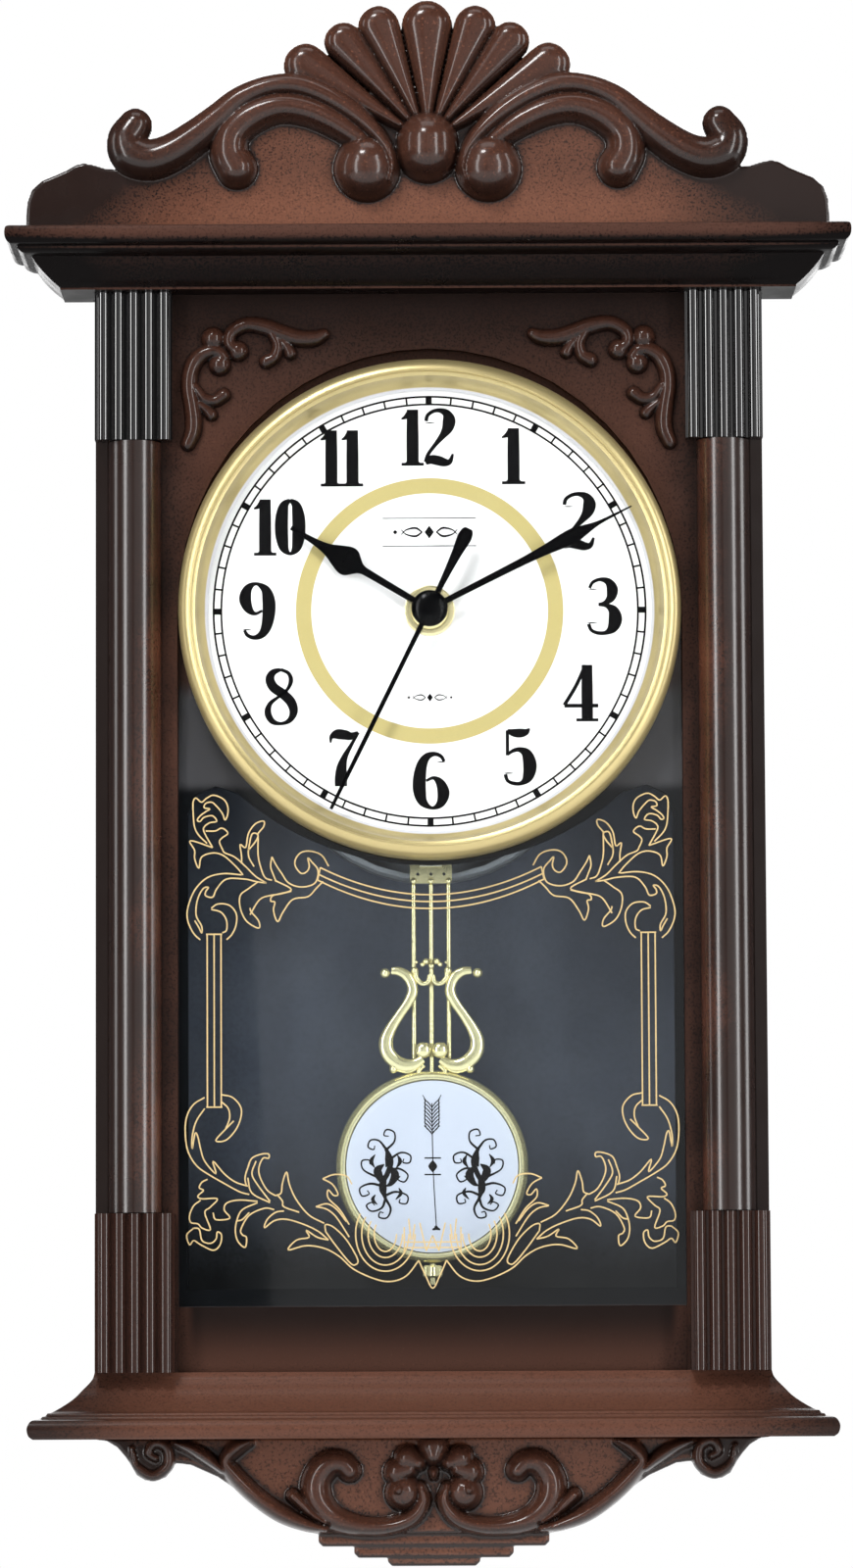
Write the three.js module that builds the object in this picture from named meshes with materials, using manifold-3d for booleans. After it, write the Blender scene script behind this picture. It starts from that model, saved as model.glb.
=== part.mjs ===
// Pendulum wall clock: moulded case, carved-look crest and apron, round dial, quartz movement
// and a lyre pendulum behind a flat pane. Millimetres, +Z up, the front faces -Y, the wall is Y = 0
// and the origin is the point of the keyhole that the wall screw bears on.
import * as THREE from 'three';
import { mergeVertices } from 'three/addons/utils/BufferGeometryUtils.js';
import Module from 'manifold-3d';

const wasm = await Module();
wasm.setup();

// ---- driving dimensions -------------------------------------------------------------------------
// Heights are drops below the top of the crest; depths are distances from the wall.
const HANGER_DROP = 125;
const CASE = { half: 121.5, top: 102.3, bottom: 493.7, wall: 3, shellDepth: 45.7 };
const FRAME = { back: 46, seat: 50, front: 54, chamfer: 4.5, chamferStart: 49 };
const DIAL = { drop: 218.5, radius: 84.5, thickness: 1.7, hole: 4.6, opening: 78 };
const BEZEL_RADIUS = 91.1;
const ARCH = { half: 91.6, rise: 96 };
const WINDOW = { half: 88, bottom: 464, shoulder: 282, arcRadius: 106, arcDrop: 205, arcHalf: 70 };
const GLASS = { half: 91.2, bottom: 470.5, thickness: 2, dialClearance: 86.5 };
const COLUMN = { x: 107, radius: 9.5, top: 156.7, bottom: 436.8 };
const BLOCK = { inner: 93.2, outer: 121.2, base: 61, reeds: 5, reedRadius: 2.3, pitch: 5.5 };
const MOULDING_BACK = 38;
const CREST = { base: 81.3, plate: [58, 66], relief: [65, 74], crown: 78 };
const APRON = { top: 517.6, plate: [50, 58], relief: [57, 64], crown: 68 };
const GAP = 0.3;
const MOVEMENT = { half: 29, above: 30, below: 68, front: 48.5, rim: 32.5, wall: 1.3 };
const COVER = { drop: 255.7, radius: 58.7, depth: 20 };
const COVER_SEGMENTS = 36;
const PIVOT_BELOW_DIAL = 35;
const BOB = { drop: 419.7, radius: 35, faceRadius: 31.3 };
const HAND_ANGLES = { hour: 301, minute: 63.1, second: 206.3 };

const PIVOT_DROP = DIAL.drop + PIVOT_BELOW_DIAL;
const ROD = { depth: 27.6, radius: 0.95, spacing: 6.4, bottom: 380.4 };
const RATING_DEPTH = 28.7;

// ---- colours ------------------------------------------------------------------------------------
const finish = (color, roughness, metalness) => ({ color, roughness, metalness });
const FINISH = {
  walnut: finish(0x4a3028, 0.42, 0),
  darkWalnut: finish(0x2f211d, 0.4, 0),
  column: finish(0x5a3428, 0.25, 0),
  blackBoard: finish(0x2e3236, 0.6, 0),
  greyPlastic: finish(0x9a9da2, 0.5, 0),
  blackPlastic: finish(0x1c1c1e, 0.45, 0),
  whiteDial: finish(0xf7f7f5, 0.4, 0),
  clear: finish(0xdfe8ea, 0.05, 0),
  gold: finish(0xd8bf78, 0.25, 1),
  brass: finish(0xd9c06a, 0.22, 1),
  steel: finish(0xb8bcc0, 0.3, 1),
  darkSteel: finish(0x55585c, 0.4, 1),
  blackMetal: finish(0x08080a, 0.35, 0.2),
  rubber: finish(0x202020, 0.8, 0),
  copper: finish(0xa4562c, 0.4, 1),
  board: finish(0x2f6b46, 0.6, 0),
  acetal: finish(0xe9e6da, 0.45, 0),
  magnet: finish(0x6c6f74, 0.35, 1),
  porcelain: finish(0xf2f3f6, 0.15, 0),
  batteryJacket: finish(0x2f5d8c, 0.35, 0.2),
};

// ---- shape helpers ------------------------------------------------------------------------------
const BORE_SIDES = 16;
const height = (drop) => HANGER_DROP - drop;
const at = ([x, drop]) => new THREE.Vector2(x, height(drop));

function polygon(points) {
  return new THREE.Shape(points.map(at));
}

function mirrored(leftPoints) {
  const right = leftPoints.map(([x, drop]) => [-x, drop]).reverse();
  return polygon([...leftPoints, ...right]);
}

function rectangle(left, right, top, bottom) {
  return polygon([[left, bottom], [right, bottom], [right, top], [left, top]]);
}

function circlePoints(x, drop, radius, sides, startDegrees = 0, sweepDegrees = 360) {
  const closed = sweepDegrees === 360;
  const count = closed ? sides : sides + 1;
  return Array.from({ length: count }, (_, index) => {
    const angle = THREE.MathUtils.degToRad(startDegrees + (sweepDegrees * index) / sides);
    return [x + radius * Math.cos(angle), drop - radius * Math.sin(angle)];
  });
}

const circle = (x, drop, radius, sides = 24) => polygon(circlePoints(x, drop, radius, sides));

// A front-facing shape given thickness, from one distance off the wall to a larger one.
function slab(shape, backDepth, frontDepth) {
  const geometry = new THREE.ExtrudeGeometry(shape, { depth: frontDepth - backDepth, bevelEnabled: false });
  geometry.rotateX(Math.PI / 2);
  geometry.translate(0, -backDepth, 0);
  return geometry;
}

// A plan section, given as [x, depth], run upright between two drops.
function upright(planPoints, topDrop, bottomDrop) {
  const shape = new THREE.Shape(planPoints.map(([x, depth]) => new THREE.Vector2(x, -depth)));
  const geometry = new THREE.ExtrudeGeometry(shape, { depth: bottomDrop - topDrop, bevelEnabled: false });
  geometry.translate(0, 0, height(bottomDrop));
  return geometry;
}

// A closed profile of [radius, depth] turned about a front-to-back axis.
function turned(profile, x, drop, segments = 24) {
  const points = profile.map(([radius, depth]) => new THREE.Vector2(radius, -depth));
  const geometry = new THREE.LatheGeometry(points, segments);
  geometry.translate(x, 0, height(drop));
  return geometry;
}

// A round bar on a front-to-back axis, with an optional bore.
function disc(x, drop, radius, backDepth, frontDepth, sides = 20, bore = 0) {
  const shape = circle(x, drop, radius, sides);
  if (bore > 0) {
    shape.holes.push(circle(x, drop, bore, BORE_SIDES));
  }
  return slab(shape, backDepth, frontDepth);
}

// A tapering band with round ends along a smooth line: points are [x, drop], widths are half-widths.
function ribbon(points, halfWidths, steps = 14) {
  const line = new THREE.SplineCurve(points.map(at));
  const widths = new THREE.SplineCurve(halfWidths.map((width, index) => new THREE.Vector2(index, width)));
  const left = [];
  const right = [];
  for (let step = 0; step <= steps; step += 1) {
    const along = step / steps;
    const middle = line.getPoint(along);
    const tangent = line.getTangent(along);
    const width = widths.getPoint(along).y;
    left.push(new THREE.Vector2(middle.x - tangent.y * width, middle.y + tangent.x * width));
    right.push(new THREE.Vector2(middle.x + tangent.y * width, middle.y - tangent.x * width));
  }
  const cap = (along, sign) => {
    const middle = line.getPoint(along);
    const tangent = line.getTangent(along).multiplyScalar(sign);
    const width = widths.getPoint(along).y;
    return [-45, 0, 45].map((degrees) => {
      const turn = THREE.MathUtils.degToRad(degrees);
      const direction = tangent.clone().rotateAround(new THREE.Vector2(), turn);
      return middle.clone().addScaledVector(direction, width);
    });
  };
  return new THREE.Shape([...right, ...cap(1, 1), ...left.reverse(), ...cap(0, -1)]);
}

const flip = (points) => points.map(([x, drop]) => [-x, drop]);

// ---- booleans -----------------------------------------------------------------------------------
function toManifold(geometry) {
  const bare = geometry.clone();
  bare.deleteAttribute('normal');
  bare.deleteAttribute('uv');
  const merged = mergeVertices(bare, 1e-4);
  return new wasm.Manifold(new wasm.Mesh({
    numProp: 3,
    vertProperties: new Float32Array(merged.attributes.position.array),
    triVerts: new Uint32Array(merged.index.array),
  }));
}

function toGeometry(manifold) {
  const mesh = manifold.getMesh();
  const geometry = new THREE.BufferGeometry();
  geometry.setAttribute('position', new THREE.BufferAttribute(new Float32Array(mesh.vertProperties), 3));
  geometry.setIndex(new THREE.BufferAttribute(new Uint32Array(mesh.triVerts), 1));
  geometry.computeVertexNormals();
  return geometry;
}

function combine(added, removed = []) {
  let solid = toManifold(added[0]);
  added.slice(1).forEach((geometry) => {
    solid = solid.add(toManifold(geometry));
  });
  removed.forEach((geometry) => {
    solid = solid.subtract(toManifold(geometry));
  });
  return toGeometry(solid);
}

// ---- assembly -----------------------------------------------------------------------------------
const clock = new THREE.Group();

function add(name, geometry, look) {
  const mesh = new THREE.Mesh(geometry, new THREE.MeshStandardMaterial(look));
  mesh.name = name;
  clock.add(mesh);
}

const SIDES = [['left', -1], ['right', 1]];

// ---- case ---------------------------------------------------------------------------------------
// Block steps that follow a moulding round the front and both sides: [projection, drop].
function moulding(profile) {
  const rings = profile.map(([projection, drop]) => ({
    half: CASE.half + projection,
    front: FRAME.front + projection,
    z: height(drop),
  }));
  const vertices = rings.flatMap(({ half, front, z }) => [
    -half, -MOULDING_BACK, z, -half, -front, z, half, -front, z, half, -MOULDING_BACK, z,
  ]);
  const corners = 4;
  const triangles = [0, 2, 1, 0, 3, 2];
  for (let ring = 0; ring < rings.length - 1; ring += 1) {
    for (let corner = 0; corner < corners; corner += 1) {
      const next = (corner + 1) % corners;
      const [a, b] = [ring * corners + corner, ring * corners + next];
      const [c, d] = [a + corners, b + corners];
      triangles.push(a, b, d, a, d, c);
    }
  }
  const last = (rings.length - 1) * corners;
  triangles.push(last, last + 1, last + 2, last, last + 2, last + 3);
  const geometry = new THREE.BufferGeometry();
  geometry.setAttribute('position', new THREE.Float32BufferAttribute(vertices, 3));
  geometry.setIndex(triangles.reverse());
  return geometry;
}

const CORNICE_PROFILE = [
  [29.4, 81.6], [30.7, 82.6], [31, 84.8], [30.2, 87.4], [28, 88.4], [26.6, 88.6],
  [25.6, 90.2], [23.4, 91.4], [21.6, 92], [19.6, 94.6], [16.6, 97.8], [13.4, 100.4], [12, 102],
];
const PLINTH_PROFILE = [
  [0, 494], [3, 494.8], [4.8, 497.8], [7.6, 502.8], [11.4, 506.2], [15.2, 508.4], [16.8, 509],
  [18, 510], [20.6, 510.2], [22.4, 511.4], [23, 513.6], [22.4, 516], [20.8, 517.3],
];

function caseShell() {
  const outer = rectangle(-CASE.half, CASE.half, CASE.top, CASE.bottom);
  const inset = CASE.half - CASE.wall;
  outer.holes.push(rectangle(-inset, inset, CASE.top + CASE.wall, CASE.bottom - CASE.wall));
  return slab(outer, 0, CASE.shellDepth);
}

function archShape(bottomDrop) {
  const arch = [];
  const steps = 24;
  for (let step = 0; step <= steps; step += 1) {
    const angle = (Math.PI * step) / steps;
    arch.push([ARCH.half * Math.cos(angle), DIAL.drop - ARCH.rise * Math.sin(angle)]);
  }
  return polygon([[-ARCH.half, bottomDrop], [ARCH.half, bottomDrop], ...arch]);
}

// Window outline: round shoulders, and a top edge that dips round the dial seat.
function windowShape() {
  const { half, bottom, shoulder, arcRadius, arcDrop, arcHalf } = WINDOW;
  const left = [[-half, bottom], [-half, shoulder + 10], [-half + 3, shoulder + 3], [-half + 10, shoulder]];
  const dip = [];
  const steps = 10;
  for (let step = 0; step < steps; step += 1) {
    const x = -arcHalf + (arcHalf * step) / steps;
    dip.push([x, arcDrop + Math.sqrt(arcRadius ** 2 - x ** 2)]);
  }
  const lowest = [0, arcDrop + arcRadius];
  return polygon([...left, ...dip, lowest, ...flip([...left, ...dip]).reverse()]);
}

function frontFrame() {
  const body = slab(rectangle(-CASE.half, CASE.half, CASE.top, CASE.bottom), FRAME.back, FRAME.front);
  const over = 5;
  const pocket = slab(archShape(CASE.bottom + over), FRAME.seat, FRAME.front + over);
  const dialHole = disc(0, DIAL.drop, DIAL.opening, FRAME.back - over, FRAME.front + over, 40);
  const window = slab(windowShape(), FRAME.back - over, FRAME.front + over);
  // Each chamfer starts on the side face and is FRAME.chamfer wide where it meets the front face.
  const rise = FRAME.front - FRAME.chamferStart;
  const chamferPastFront = (FRAME.chamfer * (rise + over)) / rise;
  const chamfers = SIDES.map(([, side]) => {
    const edge = CASE.half * side;
    const plan = [
      [edge + side * over, FRAME.seat - over],
      [edge + side * over, FRAME.front + over],
      [edge - side * chamferPastFront, FRAME.front + over],
      [edge, FRAME.chamferStart],
    ];
    return upright(side < 0 ? plan : plan.reverse(), CASE.top - over, CASE.bottom + over);
  });
  return combine([body], [pocket, dialHole, window, ...chamfers]);
}

function flutedBlock(side, inner, topDrop, bottomDrop) {
  const arcSteps = 5;
  const middle = (inner + BLOCK.outer) / 2;
  const first = middle - ((BLOCK.reeds - 1) / 2) * BLOCK.pitch;
  const plan = [[inner, FRAME.front + GAP], [inner, BLOCK.base]];
  for (let reed = 0; reed < BLOCK.reeds; reed += 1) {
    for (let step = 0; step <= arcSteps; step += 1) {
      const angle = Math.PI * (1 - step / arcSteps);
      plan.push([
        first + reed * BLOCK.pitch + BLOCK.reedRadius * Math.cos(angle),
        BLOCK.base + 0.01 + BLOCK.reedRadius * Math.sin(angle),
      ]);
    }
  }
  plan.push([BLOCK.outer, BLOCK.base], [BLOCK.outer, FRAME.front + GAP]);
  const sided = plan.map(([x, depth]) => [x * side, depth]);
  return upright(side > 0 ? sided : sided.reverse(), topDrop, bottomDrop);
}

function columnShaft(side) {
  const steps = 12;
  const plan = Array.from({ length: steps + 1 }, (_, step) => {
    const angle = (Math.PI * step) / steps;
    return [
      COLUMN.x * side + COLUMN.radius * Math.cos(angle),
      FRAME.front + GAP + COLUMN.radius * Math.sin(angle),
    ];
  });
  return upright(plan, COLUMN.top + GAP, COLUMN.bottom - GAP);
}

// Scroll applied to each upper corner of the front: a ball with one arm along and one arm down.
function cornerScroll(side) {
  const back = FRAME.front + GAP;
  const sided = (points) => (side < 0 ? points : flip(points));
  const along = sided([[-76, 121], [-70, 115], [-63.5, 112.8], [-54.5, 116], [-45, 120.4], [-37, 117.6]]);
  const down = sided([[-82, 126], [-87, 136], [-87.4, 146], [-84.6, 152], [-88, 159.5]]);
  const leaf = sided([[-63, 118], [-58, 122], [-50, 124]]);
  const sprig = sided([[-83, 134], [-77, 140], [-79, 147.5]]);
  const centre = side * 78.4;
  const web = [[side * 82, 118], [side * 64, 118], [side * 70, 128], [side * 82, 132]];
  return combine([
    disc(centre, 118.5, 3.6, back, back + 4.4, 10),
    disc(side * 70.4, 123.8, 3, back, back + 3.2, 8),
    disc(side * 75.6, 128.6, 3.4, back, back + 3.2, 8),
    slab(ribbon(along, [2.4, 2.6, 3, 3, 2.6, 1.2], 8), back, back + 3.2),
    slab(ribbon(down, [2.6, 3, 3, 2.6, 1.6], 6), back, back + 3.2),
    slab(ribbon(leaf, [3.6, 3.2, 1.4], 3), back, back + 3.2),
    slab(ribbon(sprig, [2.6, 2.8, 2.2], 3), back, back + 3.2),
    slab(polygon(web), back, back + 3.2),
  ]);
}

// Fan of concave-edged lobes that stands on the middle of the crest.
function shellShape() {
  const tips = [[-52, 24], [-44.5, 14.1], [-30.3, 5.9], [-16.1, 1.3], [0, 0]];
  const valleys = [[-49, 20], [-38.5, 14.8], [-23.9, 8.4], [-9.4, 4.9]];
  const leftEdge = tips.flatMap((tip, index) => (valleys[index] ? [tip, valleys[index]] : [tip]));
  return polygon([[-34, 46], ...leftEdge, ...flip(leftEdge.slice(0, -1)).reverse(), [34, 46]]);
}

function crestPediment() {
  const plate = mirrored([
    [-146, CREST.base], [-146, 70], [-144.4, 65], [-140.4, 61.6], [-131.4, 58.2], [-125, 55.5],
    [-118, 56.6], [-108, 56], [-92, 48], [-76, 35], [-60, 26], [-46, 20],
  ]);
  const [plateBack, plateFront] = CREST.plate;
  const [reliefBack, reliefFront] = CREST.relief;
  const scroll = [
    [-107.5, 43], [-108.6, 54], [-100, 56.5], [-90, 53.6], [-79, 42.6], [-64, 31.6], [-46, 27],
  ];
  const curl = [[-66, 59], [-66.4, 49], [-58, 40], [-46, 36.6], [-32, 43], [-22, 54]];
  const volute = [
    [0, CREST.crown - 1], [8, CREST.crown - 3], [11.4, plateFront], [11.4, reliefBack], [0, reliefBack],
  ];
  const ball = [
    [0, CREST.crown], [6, CREST.crown - 1.6], [10.6, reliefFront - 2], [10.6, reliefBack], [0, reliefBack],
  ];
  const halves = SIDES.flatMap(([, side]) => {
    const sided = (points) => (side < 0 ? points : flip(points));
    return [
      slab(ribbon(sided(scroll), [5.6, 6.4, 7.6, 8, 6.4, 5, 3.4], 12), reliefBack, reliefFront),
      slab(ribbon(sided(curl), [5.4, 4.6, 4.4, 4.4, 4.4, 5.2], 9), reliefBack, reliefFront),
      turned(volute, side * 22.3, 61, 14),
    ];
  });
  return combine([
    slab(plate, plateBack, plateFront),
    slab(shellShape(), plateBack + 2, reliefFront),
    ...halves,
    turned(ball, 0, 52, 16),
  ]);
}

function lowerApron() {
  const [plateBack, plateFront] = APRON.plate;
  const [reliefBack, reliefFront] = APRON.relief;
  const plate = mirrored([
    [-121, APRON.top], [-113.4, 520.4], [-108.4, 526], [-105.4, 530.6], [-100.6, 532.6], [-95.6, 530.8],
    [-92.8, 526.6], [-87, 526.8], [-77.2, 531.2], [-67.4, 538], [-58, 545], [-48, 549.4],
    [-42, 551.6], [-39.8, 556.2], [-28.6, 556.4], [-27, 560.4], [-17, 560.4], [-15.2, 563.3],
  ]);
  const halves = SIDES.flatMap(([, side]) => {
    const sided = (points) => (side < 0 ? points : flip(points));
    const vine = sided([[-92, 519.6], [-80, 524], [-66, 532], [-54, 541], [-42, 546], [-30, 546]]);
    const leaf = sided([[-62, 519], [-66, 526], [-56, 534]]);
    const curl = sided([
      [-29, 529], [-34, 523.6], [-42, 525.4], [-46, 532], [-40, 541], [-28, 546], [-14, 549],
    ]);
    return [
      disc(side * 99.4, 524.9, 4, reliefBack, reliefFront, 10),
      slab(ribbon(vine, [2.4, 3, 3.4, 3.6, 4, 2.6], 9), reliefBack, reliefFront),
      slab(ribbon(leaf, [1.6, 3, 1.4], 4), reliefBack, reliefFront),
      slab(ribbon(curl, [3.4, 3, 3.4, 3.8, 4, 4, 2.4], 11), reliefBack, reliefFront),
      disc(side * 11.4, 539, 6.4, reliefBack, APRON.crown, 12),
    ];
  });
  return combine([
    slab(plate, plateBack, plateFront),
    ...halves,
    disc(0, 527.6, 9.4, reliefBack, APRON.crown, 14),
    disc(0, 548, 6, reliefBack, reliefFront, 10),
  ]);
}

function backPanel() {
  const inset = CASE.half - CASE.wall - GAP;
  const panel = rectangle(-inset, inset, CASE.top + CASE.wall + GAP, CASE.bottom - CASE.wall - GAP);
  panel.holes.push(circle(0, COVER.drop, COVER.radius + 3.1, COVER_SEGMENTS));
  panel.holes.push(rectangle(-8, 8, HANGER_DROP - 9, HANGER_DROP + 19));
  return slab(panel, 0, 3);
}

// Steel plate with a keyhole: the screw head enters the round end and the shank rides up the slot.
function hangerPlate() {
  const plate = rectangle(-14, 14, HANGER_DROP - 14, HANGER_DROP + 24);
  const slotHalf = 2.4;
  const entry = 5.5;
  const entryDrop = HANGER_DROP + 12;
  const slotTop = circlePoints(0, HANGER_DROP + slotHalf, slotHalf, 8, 180, -180);
  const start = 90 - THREE.MathUtils.radToDeg(Math.asin(slotHalf / entry));
  const round = circlePoints(0, entryDrop, entry, 14, start, -2 * start - 180);
  plate.holes.push(polygon([...slotTop, ...round]));
  return slab(plate, 3 + GAP, 4.8);
}

function accessCover() {
  const { drop, radius, depth } = COVER;
  const wall = 1.8;
  return turned([
    [0, 0.5], [radius + 2.8, 0.5], [radius + 2.8, 2.7], [radius, 2.7], [radius, depth],
    [radius - wall, depth], [radius - wall, 2.7], [0, 2.7],
  ].reverse(), 0, drop, COVER_SEGMENTS);
}

function backBoard() {
  const half = CASE.half - CASE.wall - GAP;
  const notch = circlePoints(0, COVER.drop, COVER.radius + 0.7, 24, 180, 180);
  return slab(polygon([
    [half, COVER.drop], [half, CASE.bottom - CASE.wall - GAP], [-half, CASE.bottom - CASE.wall - GAP],
    [-half, COVER.drop], ...notch,
  ].reverse()), 3 + GAP, 4.8);
}

function caseScrew(x, drop) {
  return turned([[0, 3.2], [2, 3.2], [3.4, 4.3], [3.4, 5], [0, 5.8]].reverse(), x, drop, 12);
}

add('crest_pediment', crestPediment(), FINISH.walnut);
add('cornice', moulding(CORNICE_PROFILE), FINISH.darkWalnut);
add('base_plinth', moulding(PLINTH_PROFILE), FINISH.walnut);
add('lower_apron', lowerApron(), FINISH.walnut);
add('case_shell', caseShell(), FINISH.darkWalnut);
add('front_frame', frontFrame(), FINISH.walnut);
add('back_panel', backPanel(), FINISH.blackPlastic);
add('hanger_plate', hangerPlate(), FINISH.steel);
add('access_cover', accessCover(), FINISH.greyPlastic);
add('back_board', backBoard(), FINISH.blackBoard);
SIDES.forEach(([name, side]) => {
  const top = flutedBlock(side, BLOCK.inner, CASE.top, COLUMN.top);
  const bottom = flutedBlock(side, BLOCK.inner - 0.6, COLUMN.bottom, CASE.bottom);
  add(`${name}_upper_fluted_block`, top, FINISH.darkWalnut);
  add(`${name}_lower_fluted_block`, bottom, FINISH.darkWalnut);
  add(`${name}_column_shaft`, columnShaft(side), FINISH.column);
  add(`${name}_corner_scroll`, cornerScroll(side), FINISH.walnut);
});
[[-105, 118], [105, 118], [-105, 240], [105, 240]].forEach(([x, drop], index) => {
  add(`case_screw_${index + 1}`, caseScrew(x, drop), FINISH.steel);
});

// ---- dial and glazing ---------------------------------------------------------------------------
const DIAL_BACK = FRAME.seat + GAP;
const DIAL_FRONT = DIAL_BACK + DIAL.thickness;
const ROUND = 40;

function glassPane() {
  const { half, bottom, thickness, dialClearance } = GLASS;
  const notch = circlePoints(0, DIAL.drop, dialClearance, 24, 180, 180);
  const outline = [[half, DIAL.drop], [half, bottom], [-half, bottom], [-half, DIAL.drop], ...notch];
  return slab(polygon(outline.reverse()), FRAME.seat + GAP, FRAME.seat + GAP + thickness);
}

const BEZEL_PROFILE = [
  [BEZEL_RADIUS, 52.6], [BEZEL_RADIUS, 59], [89.4, 63.6], [87, 65], [86.7, 62.3], [84.8, 62.3],
  [84.2, 57], [80.7, 53.6], [80.7, 52.6],
];

add('glass_pane', glassPane(), FINISH.clear);
const dialPlate = disc(0, DIAL.drop, DIAL.radius, DIAL_BACK, DIAL_FRONT, ROUND, DIAL.hole);
add('dial_plate', dialPlate, FINISH.whiteDial);
add('bezel_ring', turned([...BEZEL_PROFILE, BEZEL_PROFILE[0]].reverse(), 0, DIAL.drop, ROUND), FINISH.gold);
add('dial_lens', disc(0, DIAL.drop, 86.2, 62.6, 63.8, ROUND), FINISH.clear);

// ---- movement -----------------------------------------------------------------------------------
// Positions inside the movement are [right, up] from the centre of the dial.
const inMovement = ([right, up]) => [right, DIAL.drop - up];
const SITE = {
  centre: [0, 0],
  third: [-6.83, 5.73],
  step: [4.2, 7.27],
  rotor: [9.72, 11.9],
  minute: [9, 0],
  battery: [0, -20],
  driveCoil: [0, -57],
};
const GEAR = {
  rotorPinion: { teeth: 6, module: 0.4 },
  stepWheel: { teeth: 30, module: 0.4 },
  stepPinion: { teeth: 6, module: 0.4 },
  secondsWheel: { teeth: 36, module: 0.4 },
  secondsPinion: { teeth: 6, module: 0.3494 },
  thirdWheel: { teeth: 45, module: 0.3494 },
  thirdPinion: { teeth: 6, module: 0.33 },
  centreWheel: { teeth: 48, module: 0.33 },
  cannonPinion: { teeth: 8, module: 0.5625 },
  minuteWheel: { teeth: 24, module: 0.5625 },
  minutePinion: { teeth: 8, module: 0.45 },
  hourWheel: { teeth: 32, module: 0.45 },
};
// Depth of the front face of each layer of wheels, hour wheel first.
const LAYER = [46.6, 45.2, 43.8, 42.4, 41, 39.6];
const WHEEL_THICKNESS = 0.8;

// Toothed disc; phase turns it, in degrees, so that a tooth meets a gap on the line of centres.
function gear(site, { teeth, module }, frontDepth, phase, thickness = WHEEL_THICKNESS, bore = 0) {
  const [x, drop] = inMovement(site);
  const pitchRadius = (teeth * module) / 2;
  const root = pitchRadius - 1.15 * module;
  const tip = pitchRadius + 0.6 * module;
  const pitchAngle = 360 / teeth;
  const corners = [[-0.5, root], [0, tip]];
  const points = [];
  for (let tooth = 0; tooth < teeth; tooth += 1) {
    corners.forEach(([part, radius]) => {
      const angle = THREE.MathUtils.degToRad(phase + (tooth + part) * pitchAngle);
      points.push([x + radius * Math.cos(angle), drop - radius * Math.sin(angle)]);
    });
  }
  const shape = polygon(points);
  if (bore > 0) {
    shape.holes.push(circle(x, drop, bore, 16));
  }
  return slab(shape, frontDepth - thickness, frontDepth);
}

const arbor = (site, radius, backDepth, frontDepth, sides = 10) => {
  const [x, drop] = inMovement(site);
  return disc(x, drop, radius, backDepth, frontDepth, sides);
};

// Phase in degrees of the second gear of a pair, whose tooth gap faces the tooth of the first.
function meshPhase([first, firstGear, firstPhase], [second, secondGear]) {
  const towards = THREE.MathUtils.radToDeg(Math.atan2(second[1] - first[1], second[0] - first[0]));
  const offset = ((towards - firstPhase) / 360) * firstGear.teeth;
  return towards + 180 + ((offset + 0.5) / secondGear.teeth) * 360;
}

function movementFrontCase() {
  const { half, above, below, front, rim, wall } = MOVEMENT;
  const top = DIAL.drop - above;
  const bottom = DIAL.drop + below;
  const floor = front - wall;
  return combine([
    slab(rectangle(-half, half, top, bottom), rim, front),
    disc(0, DIAL.drop, 4, front - 1, 54.8, 20),
  ], [
    slab(rectangle(-half + wall, half - wall, top + wall, bottom - wall), rim - 1, floor),
    disc(0, DIAL.drop, 2.75, floor - 1, 56, 20),
  ]);
}

function movementBackCover() {
  const { half, above, below, rim } = MOVEMENT;
  const back = rim - GAP - 1.5;
  const [knobX, knobDrop] = inMovement(SITE.minute);
  const cover = rectangle(-half, half, DIAL.drop - above, DIAL.drop + below);
  cover.holes.push(rectangle(-26.6, 26.6, DIAL.drop + 12, DIAL.drop + 28));
  cover.holes.push(circle(knobX, knobDrop, 1.5, 12));
  return combine([
    slab(cover, back, rim - GAP),
    disc(0, PIVOT_DROP, 1.2, 26.6, back + 0.5, 16),
    disc(0, PIVOT_DROP, 2.6, back - 0.2, back + 0.5, 16),
  ]);
}

function centreNut() {
  const nut = disc(0, DIAL.drop, 7, DIAL_FRONT + 0.6, 54.4, 6, 4.2);
  return combine([disc(0, DIAL.drop, 9.2, DIAL_FRONT + GAP, DIAL_FRONT + 1, 18, 4.2), nut]);
}

function battery() {
  const [x, drop] = inMovement(SITE.battery);
  const profile = [[0, -25.2], [7.1, -25.2], [7.1, 23.6], [2.7, 23.9], [2.7, 25.2], [0, 25.2]];
  const points = profile.map(([radius, along]) => new THREE.Vector2(radius, along));
  const geometry = new THREE.LatheGeometry(points, 20);
  geometry.rotateZ(-Math.PI / 2);
  geometry.translate(x, -39.8, height(drop));
  return geometry;
}

function batteryContact(side) {
  const drop = inMovement(SITE.battery)[1];
  const x = side * 26.6;
  return slab(rectangle(x - 0.4, x + 0.4, drop - 6, drop + 6), 33.4, 46.6);
}

function circuitBoard() {
  return slab(rectangle(-27, -17.8, DIAL.drop - 28, DIAL.drop + 10), 40.5, 41.5);
}

const COIL = { left: 6, right: 23, top: 28.4, bottom: 20.8 };

function motorCoil() {
  const radius = 3.6;
  const middle = (COIL.top + COIL.bottom) / 2;
  const inset = 0.4;
  const [start, end] = [COIL.left + inset, COIL.right - inset];
  const profile = [
    [0, start], [radius, start], [radius, start + 1], [radius - 0.9, start + 1],
    [radius - 0.9, end - 1], [radius, end - 1], [radius, end], [0, end],
  ];
  const geometry = new THREE.LatheGeometry(profile.map(([r, along]) => new THREE.Vector2(r, along)), 16);
  geometry.rotateZ(-Math.PI / 2);
  geometry.translate(0, -42.8, height(DIAL.drop - middle));
  return geometry;
}

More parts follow.
